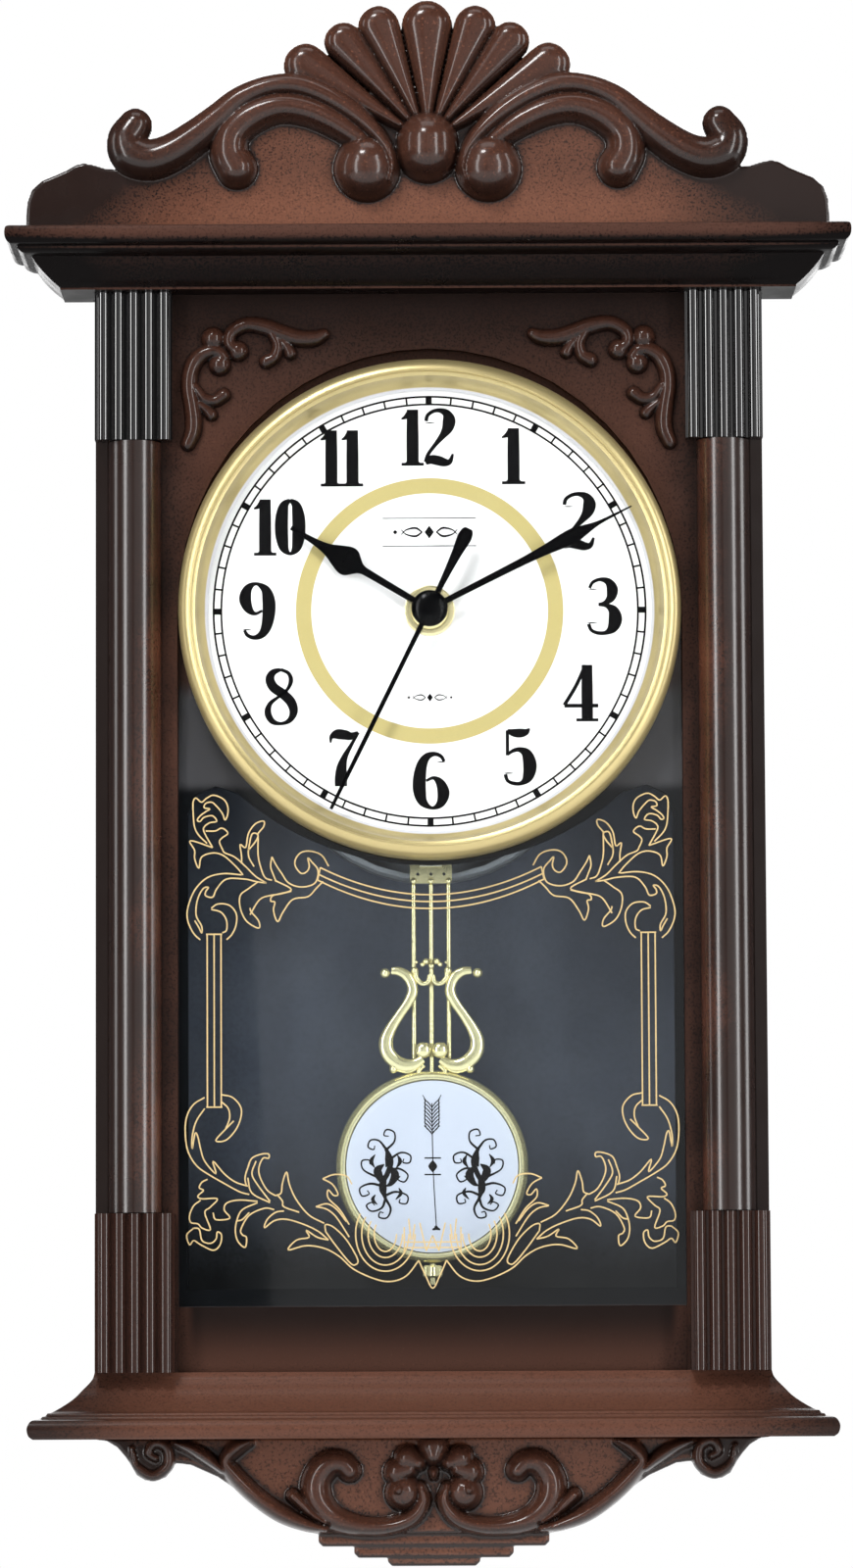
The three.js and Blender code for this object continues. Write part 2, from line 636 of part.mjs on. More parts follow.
function motorStator() {
  const up = (value) => DIAL.drop - value;
  const [x, drop] = inMovement(SITE.rotor);
  const plate = polygon([
    [3, up(10)], [6.5, up(7.6)], [26.4, up(7.6)], [26.4, up(28)], [COIL.right, up(28)],
    [COIL.right, up(20)], [COIL.left, up(20)], [COIL.left, up(28)], [3, up(28)],
  ]);
  plate.holes.push(circle(x, drop, 3.6, 16));
  return slab(plate, 42.9, 43.7);
}

function driveCoil() {
  const [x, drop] = inMovement(SITE.driveCoil);
  return disc(x, drop, 9, 36, 46.4, 24, 3);
}

add('movement_front_case', movementFrontCase(), FINISH.blackPlastic);
add('movement_back_cover', movementBackCover(), FINISH.blackPlastic);
add('sealing_washer', disc(0, DIAL.drop, 9, MOVEMENT.front + 0.2, DIAL_BACK - 0.2, 20, 4.3), FINISH.rubber);
add('centre_nut', centreNut(), FINISH.brass);
add('aa_battery', battery(), FINISH.batteryJacket);
add('battery_contact_positive', batteryContact(1), FINISH.steel);
add('battery_contact_negative', batteryContact(-1), FINISH.steel);
add('circuit_board', circuitBoard(), FINISH.board);
add('motor_coil', motorCoil(), FINISH.copper);
add('motor_stator', motorStator(), FINISH.darkSteel);
add('drive_coil', driveCoil(), FINISH.copper);

// Tooth phases, one pair after another from the rotor to the hour wheel.
const PINION_THICKNESS = 1;
const phase = { rotor: 0, seconds: 0, centre: 0, minute: 0 };
const stepPhase = meshPhase(
  [SITE.rotor, GEAR.rotorPinion, phase.rotor],
  [SITE.step, GEAR.stepWheel],
);
const stepPinionPhase = meshPhase(
  [SITE.centre, GEAR.secondsWheel, phase.seconds],
  [SITE.step, GEAR.stepPinion],
);
const thirdPhase = meshPhase(
  [SITE.centre, GEAR.secondsPinion, phase.seconds],
  [SITE.third, GEAR.thirdWheel],
);
const thirdPinionPhase = meshPhase(
  [SITE.centre, GEAR.centreWheel, phase.centre],
  [SITE.third, GEAR.thirdPinion],
);
const minutePhase = meshPhase(
  [SITE.centre, GEAR.cannonPinion, phase.centre],
  [SITE.minute, GEAR.minuteWheel],
);
const hourPhase = meshPhase(
  [SITE.minute, GEAR.minutePinion, phase.minute],
  [SITE.centre, GEAR.hourWheel],
);
const pinionFront = (layer) => LAYER[layer] + 0.1;

function motorRotor() {
  return combine([
    arbor(SITE.rotor, 0.4, 34.6, 46.2),
    arbor(SITE.rotor, 3, 41.2, 45.2, 16),
    gear(SITE.rotor, GEAR.rotorPinion, pinionFront(5), phase.rotor, PINION_THICKNESS),
  ]);
}

function stepWheel() {
  return combine([
    arbor(SITE.step, 0.4, 34.6, 41.4),
    gear(SITE.step, GEAR.stepWheel, LAYER[5], stepPhase),
    gear(SITE.step, GEAR.stepPinion, pinionFront(4), stepPinionPhase, PINION_THICKNESS),
  ]);
}

function secondsWheel() {
  return combine([
    arbor(SITE.centre, 0.5, 34.6, 58.8, 12),
    gear(SITE.centre, GEAR.secondsWheel, LAYER[4], phase.seconds),
    gear(SITE.centre, GEAR.secondsPinion, pinionFront(3), phase.seconds, PINION_THICKNESS),
  ]);
}

function thirdWheel() {
  return combine([
    arbor(SITE.third, 0.4, 34.6, 46.2),
    gear(SITE.third, GEAR.thirdWheel, LAYER[3], thirdPhase),
    gear(SITE.third, GEAR.thirdPinion, pinionFront(2), thirdPinionPhase, PINION_THICKNESS),
  ]);
}

function centreWheel() {
  return combine([
    disc(0, DIAL.drop, 1.4, 42.9, 58.4, 16, 0.62),
    gear(SITE.centre, GEAR.centreWheel, LAYER[2], phase.centre, WHEEL_THICKNESS, 0.62),
    gear(SITE.centre, GEAR.cannonPinion, pinionFront(1), phase.centre, PINION_THICKNESS, 0.62),
  ]);
}

function minuteWheel() {
  return combine([
    arbor(SITE.minute, 0.7, 29.9, 46.8, 12),
    gear(SITE.minute, GEAR.minuteWheel, LAYER[1], minutePhase),
    gear(SITE.minute, GEAR.minutePinion, pinionFront(0), phase.minute, PINION_THICKNESS),
  ]);
}

function hourWheel() {
  return combine([
    disc(0, DIAL.drop, 2.5, 45.8, 56.2, 20, 1.55),
    gear(SITE.centre, GEAR.hourWheel, LAYER[0], hourPhase, WHEEL_THICKNESS, 1.55),
  ]);
}

function settingKnob() {
  const [x, drop] = inMovement(SITE.minute);
  return combine([disc(x, drop, 5, 24.6, 29.6, 18)], [disc(x, drop, 3, 23, 25.6, 12)]);
}

add('motor_rotor', motorRotor(), FINISH.magnet);
add('step_wheel', stepWheel(), FINISH.acetal);
add('seconds_wheel', secondsWheel(), FINISH.acetal);
add('third_wheel', thirdWheel(), FINISH.acetal);
add('centre_wheel', centreWheel(), FINISH.brass);
add('minute_wheel', minuteWheel(), FINISH.acetal);
add('setting_knob', settingKnob(), FINISH.blackPlastic);
add('hour_wheel', hourWheel(), FINISH.brass);

// ---- hands --------------------------------------------------------------------------------------
// A hand outline is drawn along +Z from its axis as [half-width, distance], then turned clockwise.
function hand(outline, hubRadius, bore, backDepth, frontDepth, clockwiseDegrees, extras = []) {
  const right = outline.map(([half, distance]) => [half, DIAL.drop - distance]);
  const blade = slab(polygon([...right, ...flip(right).reverse()]), backDepth, frontDepth);
  const hub = disc(0, DIAL.drop, hubRadius, backDepth, frontDepth, 20);
  const holes = bore > 0 ? [disc(0, DIAL.drop, bore, backDepth - 1, frontDepth + 1, 16)] : [];
  const geometry = combine([blade, hub, ...extras], holes);
  geometry.translate(0, 0, -height(DIAL.drop));
  geometry.rotateY(THREE.MathUtils.degToRad(clockwiseDegrees));
  geometry.translate(0, 0, height(DIAL.drop));
  return geometry;
}

const HOUR_OUTLINE = [
  [1.3, 0], [1.5, 30], [3.2, 31.6], [4.5, 34.4], [4.3, 37.4], [2.4, 43], [1.2, 46.6], [0.3, 58.8],
];
const MINUTE_OUTLINE = [[1.1, 0], [1.5, 40], [2.7, 58], [2.3, 62], [0.8, 68.6], [0.25, 82.6]];
const SECOND_OUTLINE = [[2.1, -32.4], [2.3, -30], [1.1, -6], [0.6, 20], [0.4, 81.4]];

add('hour_hand', hand(HOUR_OUTLINE, 5.4, 2.6, 55.1, 55.8, HAND_ANGLES.hour), FINISH.blackMetal);
add('minute_hand', hand(MINUTE_OUTLINE, 4.6, 1.5, 57.2, 57.9, HAND_ANGLES.minute), FINISH.blackMetal);
add('second_hand', hand(SECOND_OUTLINE, 6.6, 0, 59.2, 59.8, HAND_ANGLES.second, [
  turned([[0, 59.4], [6.6, 59.4], [6, 60.6], [4, 61.8], [0, 62.3]].reverse(), 0, DIAL.drop, 20),
]), FINISH.blackMetal);

// ---- pendulum -----------------------------------------------------------------------------------
const LEVER = { back: 28.4, front: 29.9 };
const HANGER = { top: 300, bottom: 316.2, half: 7.7, back: 27.1, front: 28.1, peg: 306 };

function pendulumLever() {
  const bar = rectangle(-4, 4, PIVOT_DROP - 4, HANGER.peg + 4);
  bar.holes.push(circle(0, PIVOT_DROP, 1.3, 16));
  return combine([
    slab(bar, LEVER.back, LEVER.front),
    disc(0, HANGER.peg, 1.1, 26.2, LEVER.front - 0.5, 12),
  ]);
}

function pendulumHanger() {
  const plate = rectangle(-HANGER.half, HANGER.half, HANGER.top, HANGER.bottom);
  plate.holes.push(circle(0, HANGER.peg, 1.3, 12));
  return slab(plate, HANGER.back, HANGER.front);
}

function pendulumRod(x) {
  const top = HANGER.bottom + GAP;
  return new THREE.CylinderGeometry(ROD.radius, ROD.radius, ROD.bottom - top, 10)
    .rotateX(Math.PI / 2)
    .translate(x, -ROD.depth, height((ROD.bottom + top) / 2));
}

function lyre() {
  const back = 28.9;
  const front = 31.3;
  const arm = [
    [-16.8, 349.4], [-11.4, 352.6], [-7.6, 352.4], [-6.6, 357], [-11.4, 364.4], [-16.6, 372.6],
    [-11.6, 379.6], [-4.6, 381.8],
  ];
  const halves = SIDES.flatMap(([, side]) => {
    const sided = side < 0 ? arm : flip(arm);
    return [
      slab(ribbon(sided, [1, 1.2, 1.1, 1.1, 1.3, 1.7, 1.4, 1.2], 13), back, front),
      disc(side * 16.9, 349, 2, back, front, 8),
      disc(side * 2.9, 377.9, 2.6, back, front + 0.8, 8),
      slab(ribbon([[side * 6.4, 349], [side * 3.4, 353.6], [0, 349.4]], [0.9, 1, 1], 4), back, front),
      disc(side * 14, 382.6, 2, back, front, 8),
    ];
  });
  return combine([
    ...halves,
    slab(rectangle(-14.4, 14.4, 379.8, 384), back, front),
    slab(ribbon([[-8, 352.4], [0, 353.4], [8, 352.4]], [1, 1, 1], 3), back, front),
    disc(0, 346.6, 2.6, back, front, 8),
  ]);
}

function bobRing() {
  const { radius, drop } = BOB;
  const inner = radius - 3.4;
  const profile = [
    [radius - 1, 25.4], [radius, 27], [radius, 30.2], [radius - 1.6, 32.4], [inner, 31.4], [inner, 25.4],
  ];
  return turned([...profile, profile[0]].reverse(), 0, drop, 36);
}

function bobFace() {
  const { faceRadius, drop } = BOB;
  return turned([
    [0, 28.4], [faceRadius, 28.4], [faceRadius, 30], [25, 31.8], [12, 32.9], [0, 33.1],
  ].reverse(), 0, drop, 28);
}

function bobBack() {
  const { faceRadius, drop } = BOB;
  return turned([[0, 24.6], [20, 25], [faceRadius, 26.6], [faceRadius, 28], [0, 28]].reverse(), 0, drop, 28);
}

function uprightCylinder(radius, topDrop, bottomDrop, sides, bore = 0) {
  const shape = new THREE.Shape();
  shape.absarc(0, 0, radius, 0, Math.PI * 2);
  if (bore > 0) {
    const hole = new THREE.Path();
    hole.absarc(0, 0, bore, 0, Math.PI * 2);
    shape.holes.push(hole);
  }
  const options = { depth: bottomDrop - topDrop, bevelEnabled: false, curveSegments: sides };
  return new THREE.ExtrudeGeometry(shape, options).translate(0, -RATING_DEPTH, height(bottomDrop));
}

const RING_FOOT = BOB.drop + BOB.radius + GAP;

add('pendulum_lever', pendulumLever(), FINISH.acetal);
add('lever_magnet', disc(0, inMovement(SITE.driveCoil)[1], 5, 24.4, LEVER.back - GAP, 20), FINISH.magnet);
add('pendulum_hanger', pendulumHanger(), FINISH.brass);
add('pendulum_rod_left', pendulumRod(-ROD.spacing), FINISH.brass);
add('pendulum_rod_middle', pendulumRod(0), FINISH.brass);
add('pendulum_rod_right', pendulumRod(ROD.spacing), FINISH.brass);
add('pendulum_lyre', lyre(), FINISH.brass);
add('bob_ring', bobRing(), FINISH.brass);
add('bob_face', bobFace(), FINISH.porcelain);
add('bob_back', bobBack(), FINISH.brass);
add('rating_screw', uprightCylinder(1.2, RING_FOOT, 462.6, 10), FINISH.brass);
add('rating_nut', uprightCylinder(3.6, RING_FOOT + 0.6, 460, 10, 1.5), FINISH.brass);

export default clock;
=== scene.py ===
"""Pendulum wall clock: carved-look brown case, gold-lined pane, white dial and a lyre pendulum.

Lengths are millimetres until a piece is made. A place is (x, depth, drop): x to the right, depth out
from the wall and drop down from the top of the crest.
"""
import math

import bmesh
import bpy
import numpy as np
from mathutils import Matrix, Vector

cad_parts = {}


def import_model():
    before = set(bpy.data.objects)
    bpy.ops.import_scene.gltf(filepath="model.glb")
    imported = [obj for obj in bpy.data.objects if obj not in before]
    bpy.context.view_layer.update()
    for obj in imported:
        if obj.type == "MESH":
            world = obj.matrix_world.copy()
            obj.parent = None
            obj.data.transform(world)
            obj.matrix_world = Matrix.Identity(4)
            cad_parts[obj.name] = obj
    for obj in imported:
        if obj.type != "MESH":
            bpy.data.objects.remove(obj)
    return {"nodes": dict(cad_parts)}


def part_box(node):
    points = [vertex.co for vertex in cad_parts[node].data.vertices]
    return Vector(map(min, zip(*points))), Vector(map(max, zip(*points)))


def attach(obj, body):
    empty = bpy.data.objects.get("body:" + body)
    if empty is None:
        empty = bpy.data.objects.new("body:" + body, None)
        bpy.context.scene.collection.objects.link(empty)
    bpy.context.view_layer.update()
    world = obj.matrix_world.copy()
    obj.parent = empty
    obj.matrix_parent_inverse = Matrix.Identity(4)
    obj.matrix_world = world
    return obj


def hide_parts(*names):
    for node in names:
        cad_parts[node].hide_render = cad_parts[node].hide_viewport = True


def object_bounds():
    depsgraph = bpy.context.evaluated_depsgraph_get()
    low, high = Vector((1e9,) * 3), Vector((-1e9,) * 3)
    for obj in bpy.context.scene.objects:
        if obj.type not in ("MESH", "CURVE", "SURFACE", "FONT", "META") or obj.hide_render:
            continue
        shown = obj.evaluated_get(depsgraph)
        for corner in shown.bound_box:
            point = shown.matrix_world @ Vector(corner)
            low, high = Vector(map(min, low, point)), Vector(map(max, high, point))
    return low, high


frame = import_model()
CAD_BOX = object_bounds()

MM = 0.001
TOP = CAD_BOX[1].z
SIDES = (-1, 1)
SHARP_ANGLE = math.radians(32)


class Extent:
    """The box of a CAD node as left, right, back, front (depths), top and bottom (drops)."""

    def __init__(self, node):
        low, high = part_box(node)
        self.left = low.x / MM
        self.right = high.x / MM
        self.back = -high.y / MM
        self.front = -low.y / MM
        self.top = (TOP - high.z) / MM
        self.bottom = (TOP - low.z) / MM
        self.x = (self.left + self.right) / 2
        self.middle = (self.top + self.bottom) / 2
        self.half = (self.right - self.left) / 2


CASE = Extent("case_shell")
FRONT = Extent("front_frame")
CREST = Extent("crest_pediment")
CORNICE = Extent("cornice")
PLINTH = Extent("base_plinth")
APRON = Extent("lower_apron")
DIAL = Extent("dial_plate")
BEZEL = Extent("bezel_ring")
PANE = Extent("glass_pane")
BOB = Extent("bob_ring")
BOB_FACE = Extent("bob_face")
HANGER = Extent("pendulum_hanger")
LYRE = Extent("pendulum_lyre")
CENTRE = DIAL.middle


def place(x, depth, drop):
    return Vector((x * MM, -depth * MM, TOP - drop * MM))


# ---- camera -------------------------------------------------------------------------------------
# A long lens a little below the middle of the clock, looking five degrees up.
CAMERA_DISTANCE = 2200
CAMERA_DROP = 474.4
CAMERA_PITCH = 5
CAMERA_ROLL = -0.27
FRAME_HEIGHT = 1600
FOCAL = 6219
SENSOR = 36
AXIS_OFFSET = 4


def make_camera():
    data = bpy.data.cameras.new("camera")
    data.sensor_fit = "VERTICAL"
    data.sensor_height = SENSOR
    data.lens = FOCAL * SENSOR / FRAME_HEIGHT
    data.shift_x = -AXIS_OFFSET / FRAME_HEIGHT
    data.clip_end = 50
    camera = bpy.data.objects.new("camera", data)
    bpy.context.scene.collection.objects.link(camera)
    where = Matrix.Translation(place(0, FRONT.front + CAMERA_DISTANCE, CAMERA_DROP))
    look = Matrix.Rotation(math.radians(90 + CAMERA_PITCH), 4, "X")
    roll = Matrix.Rotation(math.radians(CAMERA_ROLL), 4, "Z")
    camera.matrix_world = where @ look @ roll
    bpy.context.scene.camera = camera


# ---- node materials -----------------------------------------------------------------------------
class Look:
    """A node material under construction, with short helpers for the nodes used here."""

    def __init__(self, name, **sockets):
        self.material = bpy.data.materials.new(name)
        self.material.use_nodes = True
        self.nodes = self.material.node_tree.nodes
        self.shader = self.nodes["Principled BSDF"]
        self.output = self.nodes["Material Output"]
        self.coordinates = self.nodes.new("ShaderNodeTexCoord")
        for socket, value in sockets.items():
            self.put(self.shader.inputs[socket.replace("_", " ")], value)

    def put(self, socket, value):
        if isinstance(value, bpy.types.NodeSocket):
            self.material.node_tree.links.new(value, socket)
        else:
            socket.default_value = value

    def math(self, operation, first, second=0.0):
        node = self.nodes.new("ShaderNodeMath")
        node.operation = operation
        node.use_clamp = True
        self.put(node.inputs[0], first)
        self.put(node.inputs[1], second)
        return node.outputs[0]

    def mapped(self, value, low, high, out_low=0.0, out_high=1.0):
        node = self.nodes.new("ShaderNodeMapRange")
        node.interpolation_type = "SMOOTHSTEP"
        self.put(node.inputs["Value"], value)
        node.inputs["From Min"].default_value = low
        node.inputs["From Max"].default_value = high
        node.inputs["To Min"].default_value = out_low
        node.inputs["To Max"].default_value = out_high
        return node.outputs["Result"]

    def noise(self, scale, detail=3.0, stretch=(1, 1, 1)):
        mapping = self.nodes.new("ShaderNodeMapping")
        mapping.inputs["Scale"].default_value = stretch
        self.put(mapping.inputs["Vector"], self.coordinates.outputs["Object"])
        node = self.nodes.new("ShaderNodeTexNoise")
        node.inputs["Scale"].default_value = scale
        node.inputs["Detail"].default_value = detail
        self.put(node.inputs["Vector"], mapping.outputs["Vector"])
        return node.outputs["Fac"]

    def axis(self, name):
        node = self.nodes.new("ShaderNodeSeparateXYZ")
        self.put(node.inputs[0], self.coordinates.outputs["Object"])
        return node.outputs[name]

    def facing(self, name):
        """One part of the surface's own direction: Z is 1 where it looks up."""
        node = self.nodes.new("ShaderNodeSeparateXYZ")
        self.put(node.inputs[0], self.coordinates.outputs["Normal"])
        return node.outputs[name]

    def width(self):
        node = self.nodes.new("ShaderNodeMath")
        node.operation = "ABSOLUTE"
        self.put(node.inputs[0], self.axis("X"))
        return node.outputs[0]

    def mix(self, factor, first, second):
        node = self.nodes.new("ShaderNodeMix")
        node.data_type = "RGBA"
        colours = [socket for socket in node.inputs if socket.type == "RGBA"]
        self.put(node.inputs[0], factor)
        self.put(colours[0], first)
        self.put(colours[1], second)
        return next(socket for socket in node.outputs if socket.type == "RGBA")

    def bump(self, height, strength, distance):
        node = self.nodes.new("ShaderNodeBump")
        node.inputs["Strength"].default_value = strength
        node.inputs["Distance"].default_value = distance
        self.put(node.inputs["Height"], height)
        self.put(self.shader.inputs["Normal"], node.outputs["Normal"])

    def attribute(self, name):
        node = self.nodes.new("ShaderNodeAttribute")
        node.attribute_name = name
        return node.outputs["Fac"]


def colour(red, green, blue):
    """A display colour, 0 to 255, as the linear value a socket takes."""
    linear = [(part / 255) ** 2.2 for part in (red, green, blue)]
    return (*linear, 1.0)


# A fade that lies past the case's edge, so that the light colour holds all over.
PAST_EDGE = (0.2, 0.3)
# Heights, from low to high, over which a brown changes on its way up or down the clock.
# On the frame this is painted shade under the cornice: darker towards the top.
FRAME_TOP_SHADE = (-0.04, 0.03)
REED_FADE = (-0.3, -0.05)
CREST_FADE = (0.044, 0.07)
APRON_FADE = (-0.385, -0.38)
LEDGE_GREY_TOP = (-0.126, -0.118)
LEDGE_BLACK_TOP = (-0.16, -0.155)
LEDGE_GREY = (69, 66, 67)
LEDGE_BLACK = (16, 17, 19)
LEDGE_BLUR = 0.0004
# How far below the pane the shade on the rail fades out, and how near it is full.
RAIL_SHADE = (0.026, 0.002)
WORN_LIFT = 1.45


def sprayed_brown(name, light, dark, roughness, fade, height_fade=None, raised=None, gloss=0.3,
                  level=0.35, wear=0.2, polish=0.12, under=0.0, pane_edge=False, coat_index=1.5):
    """Sprayed brown plastic: light in the middle, dark to the sides, with a fine speckle.

    fade is the half-widths in metres between which the light colour gives way to the dark one, and
    height_fade the same for heights; on the frame it paints the shade under the cornice. raised is the
    colour that a carving's raised parts have instead, and with it comes painted shade in the carving's
    hollows. gloss, polish and coat_index are the clear coat's weight, roughness and index, and level
    is the reflection under it. under paints shade on what looks down, and pane_edge colours the ledge
    under the pane and shades the rail below it.
    """
    look = Look(name, Specular_IOR_Level=level, Coat_Weight=gloss, Coat_Roughness=polish,
                Coat_IOR=coat_index)
    cloud = look.noise(scale=26, detail=4)
    side = look.math("ADD", look.width(), look.math("MULTIPLY", cloud, 0.03))
    darkness = look.mapped(side, *fade)
    if height_fade:
        darkness = look.math("MAXIMUM", darkness, look.mapped(look.axis("Z"), *height_fade))
    speckle = look.mapped(look.noise(scale=1200, detail=2), low=0.48, high=0.7, out_high=0.4)
    darkness = look.math("ADD", darkness, speckle)
    # Painted shade on faces that look down.
    if under:
        painted_underside_shade = look.mapped(look.facing("Z"), low=0.1, high=-0.75, out_high=under)
        darkness = look.math("ADD", darkness, painted_underside_shade)
    light_colour = colour(*light)
    if raised:
        # Painted shade in the carving's hollows.
        darkness = look.math("ADD", darkness, look.attribute("recess_shade"))
        flat = look.math("SUBTRACT", 1.0, look.attribute("raised"))
        top = look.mapped(look.axis("Z"), *CREST_FADE, out_high=0.5)
        foot = look.mapped(look.axis("Z"), *APRON_FADE, out_low=0.4, out_high=0.0)
        ends = look.math("MULTIPLY", flat, look.math("ADD", top, foot))
        darkness = look.math("ADD", darkness, ends)
        light_colour = look.mix(look.attribute("raised"), light_colour, colour(*raised))
    if pane_edge:
        darkness = look.math("MAXIMUM", darkness, pane_shade(look))
    worn = look.mapped(look.noise(scale=900, detail=2), low=0.58, high=0.76, out_high=wear)
    worn = look.math("MULTIPLY", worn, look.math("SUBTRACT", 1.0, darkness))
    base = look.mix(darkness, light_colour, colour(*dark))
    paler = [min(part * WORN_LIFT, 255) for part in light]
    base = look.mix(worn, base, colour(*paler))
    if pane_edge:
        base = look.mix(pane_ledge(look, LEDGE_GREY_TOP), base, colour(*LEDGE_GREY))
        base = look.mix(pane_ledge(look, LEDGE_BLACK_TOP), base, colour(*LEDGE_BLACK))
    look.put(look.shader.inputs["Base Color"], base)
    sheen = look.noise(scale=60, detail=3)
    sheen = look.mapped(sheen, 0.3, 0.7, out_low=roughness - 0.05, out_high=roughness + 0.07)
    look.put(look.shader.inputs["Roughness"], sheen)
    look.bump(look.noise(scale=2600, detail=2), strength=0.05, distance=0.0002)
    return look.material


def pane_ledge(look, top):
    """1 on the ledge that the pane lies on, up to a height, and 0 elsewhere."""
    front = -PANE.front * MM
    foot = TOP - PANE.bottom * MM
    side = PANE.half * MM
    share = look.mapped(look.axis("Y"), front - LEDGE_BLUR, front)
    share = look.math("MULTIPLY", share, look.mapped(look.axis("Z"), foot, foot + 0.0005))
    share = look.math("MULTIPLY", share, look.mapped(look.axis("Z"), *top, out_low=1.0, out_high=0.0))
    within = look.mapped(look.width(), side, side + LEDGE_BLUR, out_low=1.0, out_high=0.0)
    return look.math("MULTIPLY", share, within)


def pane_shade(look):
    """Dark under the pane's lower edge, fading down the bottom rail."""
    foot = TOP - PANE.bottom * MM
    side = PANE.half * MM
    far, near = RAIL_SHADE
    share = look.mapped(look.axis("Z"), foot - far, foot - near)
    below = look.mapped(look.axis("Z"), foot, foot + 0.0005, out_low=1.0, out_high=0.0)
    within = look.mapped(look.width(), side - 0.006, side, out_low=1.0, out_high=0.0)
    return look.math("MULTIPLY", look.math("MULTIPLY", share, below), within)


def plain(name, tint, roughness, metallic=0.0, speckle=0.12, grain=1800, depth=0.00005, level=0.5):
    """One colour with a fine uneven tone, gloss and surface."""
    look = Look(name, Metallic=metallic, Specular_IOR_Level=level)
    tone = look.mapped(look.noise(scale=grain, detail=2), 0.35, 0.65, out_high=speckle)
    darker = [part * 0.45 for part in tint]
    look.put(look.shader.inputs["Base Color"], look.mix(tone, colour(*tint), colour(*darker)))
    roughest = min(roughness * 1.25, 1.0)
    uneven = look.noise(scale=70, detail=4)
    uneven = look.mapped(uneven, 0.3, 0.7, out_low=roughness * 0.8, out_high=roughest)
    look.put(look.shader.inputs["Roughness"], uneven)
    look.bump(look.noise(scale=grain * 1.3, detail=2), strength=0.25, distance=depth)
    return look.material


def slate(name, tint, shadow, roughness):
    """A matt dark board, darker towards its foot."""
    look = Look(name)
    foot = TOP - PANE.bottom * MM
    dark = look.mapped(look.axis("Z"), foot + 0.005, foot + 0.06, out_low=1.0, out_high=0.0)
    grain = look.mapped(look.noise(scale=700, detail=2), 0.4, 0.7, out_high=0.14)
    dark = look.math("ADD", dark, grain)
    look.put(look.shader.inputs["Base Color"], look.mix(dark, colour(*tint), colour(*shadow)))
    uneven = look.mapped(look.noise(scale=50, detail=3), 0.3, 0.7, out_low=roughness, out_high=0.9)
    look.put(look.shader.inputs["Roughness"], uneven)
    look.bump(look.noise(scale=1500, detail=2), strength=0.1, distance=0.00005)
    return look.material


def polished(name, tint, tarnish, roughness):
    """Plated metal with faint smears and a little tarnish."""
    look = Look(name, Metallic=0.75)
    stain = look.mapped(look.noise(scale=60, detail=3), 0.5, 0.78, out_high=0.4)
    look.put(look.shader.inputs["Base Color"], look.mix(stain, colour(*tint), colour(*tarnish)))
    smear = look.noise(scale=160, detail=3, stretch=(1, 1, 0.3))
    smear = look.mapped(smear, 0.3, 0.7, out_low=roughness * 0.9, out_high=roughness * 1.15)
    look.put(look.shader.inputs["Roughness"], smear)
    look.bump(look.noise(scale=2400, detail=2), strength=0.04, distance=0.00003)
    return look.material


BEZEL_STEP = 81.6


def two_tone_ring(name, outer, inner, radius, roughness):
    """Plated outside a radius from the dial's axis and pale grey inside it."""
    look = Look(name)
    height = look.nodes.new("ShaderNodeMath")
    height.operation = "SUBTRACT"
    look.put(height.inputs[0], look.axis("Z"))
    look.put(height.inputs[1], TOP - CENTRE * MM)
    reach = look.nodes.new("ShaderNodeCombineXYZ")
    look.put(reach.inputs["X"], look.axis("X"))
    look.put(reach.inputs["Y"], height.outputs[0])
    length = look.nodes.new("ShaderNodeVectorMath")
    length.operation = "LENGTH"
    look.put(length.inputs[0], reach.outputs[0])
    blur = 0.0002
    plated = look.mapped(length.outputs["Value"], radius * MM - blur, radius * MM + blur)
    smear = look.mapped(look.noise(scale=20, detail=1), 0.35, 0.7, out_high=0.5)
    gold = look.mix(smear, colour(*outer), colour(*[part * 0.93 for part in outer]))
    look.put(look.shader.inputs["Base Color"], look.mix(plated, colour(*inner), gold))
    look.put(look.shader.inputs["Metallic"], look.math("MULTIPLY", plated, 0.7))
    uneven = look.noise(scale=30, detail=2)
    uneven = look.mapped(uneven, 0.3, 0.7, out_low=roughness * 0.95, out_high=roughness * 1.08)
    look.put(look.shader.inputs["Roughness"], uneven)
    return look.material


def clear(name, tint, index):
    """Clear sheet: seen through, with a reflection that grows towards grazing."""
    look = Look(name)
    through = look.nodes.new("ShaderNodeBsdfTransparent")
    through.inputs["Color"].default_value = (*tint, 1.0)
    gloss = look.nodes.new("ShaderNodeBsdfGlossy")
    smear = look.mapped(look.noise(scale=9, detail=3), 0.35, 0.7, out_low=0.01, out_high=0.05)
    look.put(gloss.inputs["Roughness"], smear)
    fresnel = look.nodes.new("ShaderNodeFresnel")
    fresnel.inputs["IOR"].default_value = index
    side = look.nodes.new("ShaderNodeNewGeometry")
    outer = look.math("SUBTRACT", 1.0, side.outputs["Backfacing"])
    both = look.nodes.new("ShaderNodeMixShader")
    look.put(both.inputs[0], look.math("MULTIPLY", fresnel.outputs[0], outer))
    look.put(both.inputs[1], through.outputs[0])
    look.put(both.inputs[2], gloss.outputs[0])
    look.put(look.output.inputs["Surface"], both.outputs[0])
    look.nodes.remove(look.shader)
    return look.material


BROWN = sprayed_brown(
    "case_brown", light=(86, 57, 46), dark=(38, 28, 25), roughness=0.34, fade=(0.1, 0.165), level=0.1,
    gloss=0.08)
# The carving has painted shade in its hollows and on the faces that look down.
CARVED = sprayed_brown(
    "carved_brown", light=(116, 75, 58), dark=(36, 26, 23), roughness=0.28, fade=(0.08, 0.155),
    raised=(66, 43, 35), level=0.15, gloss=0.4, under=0.75)
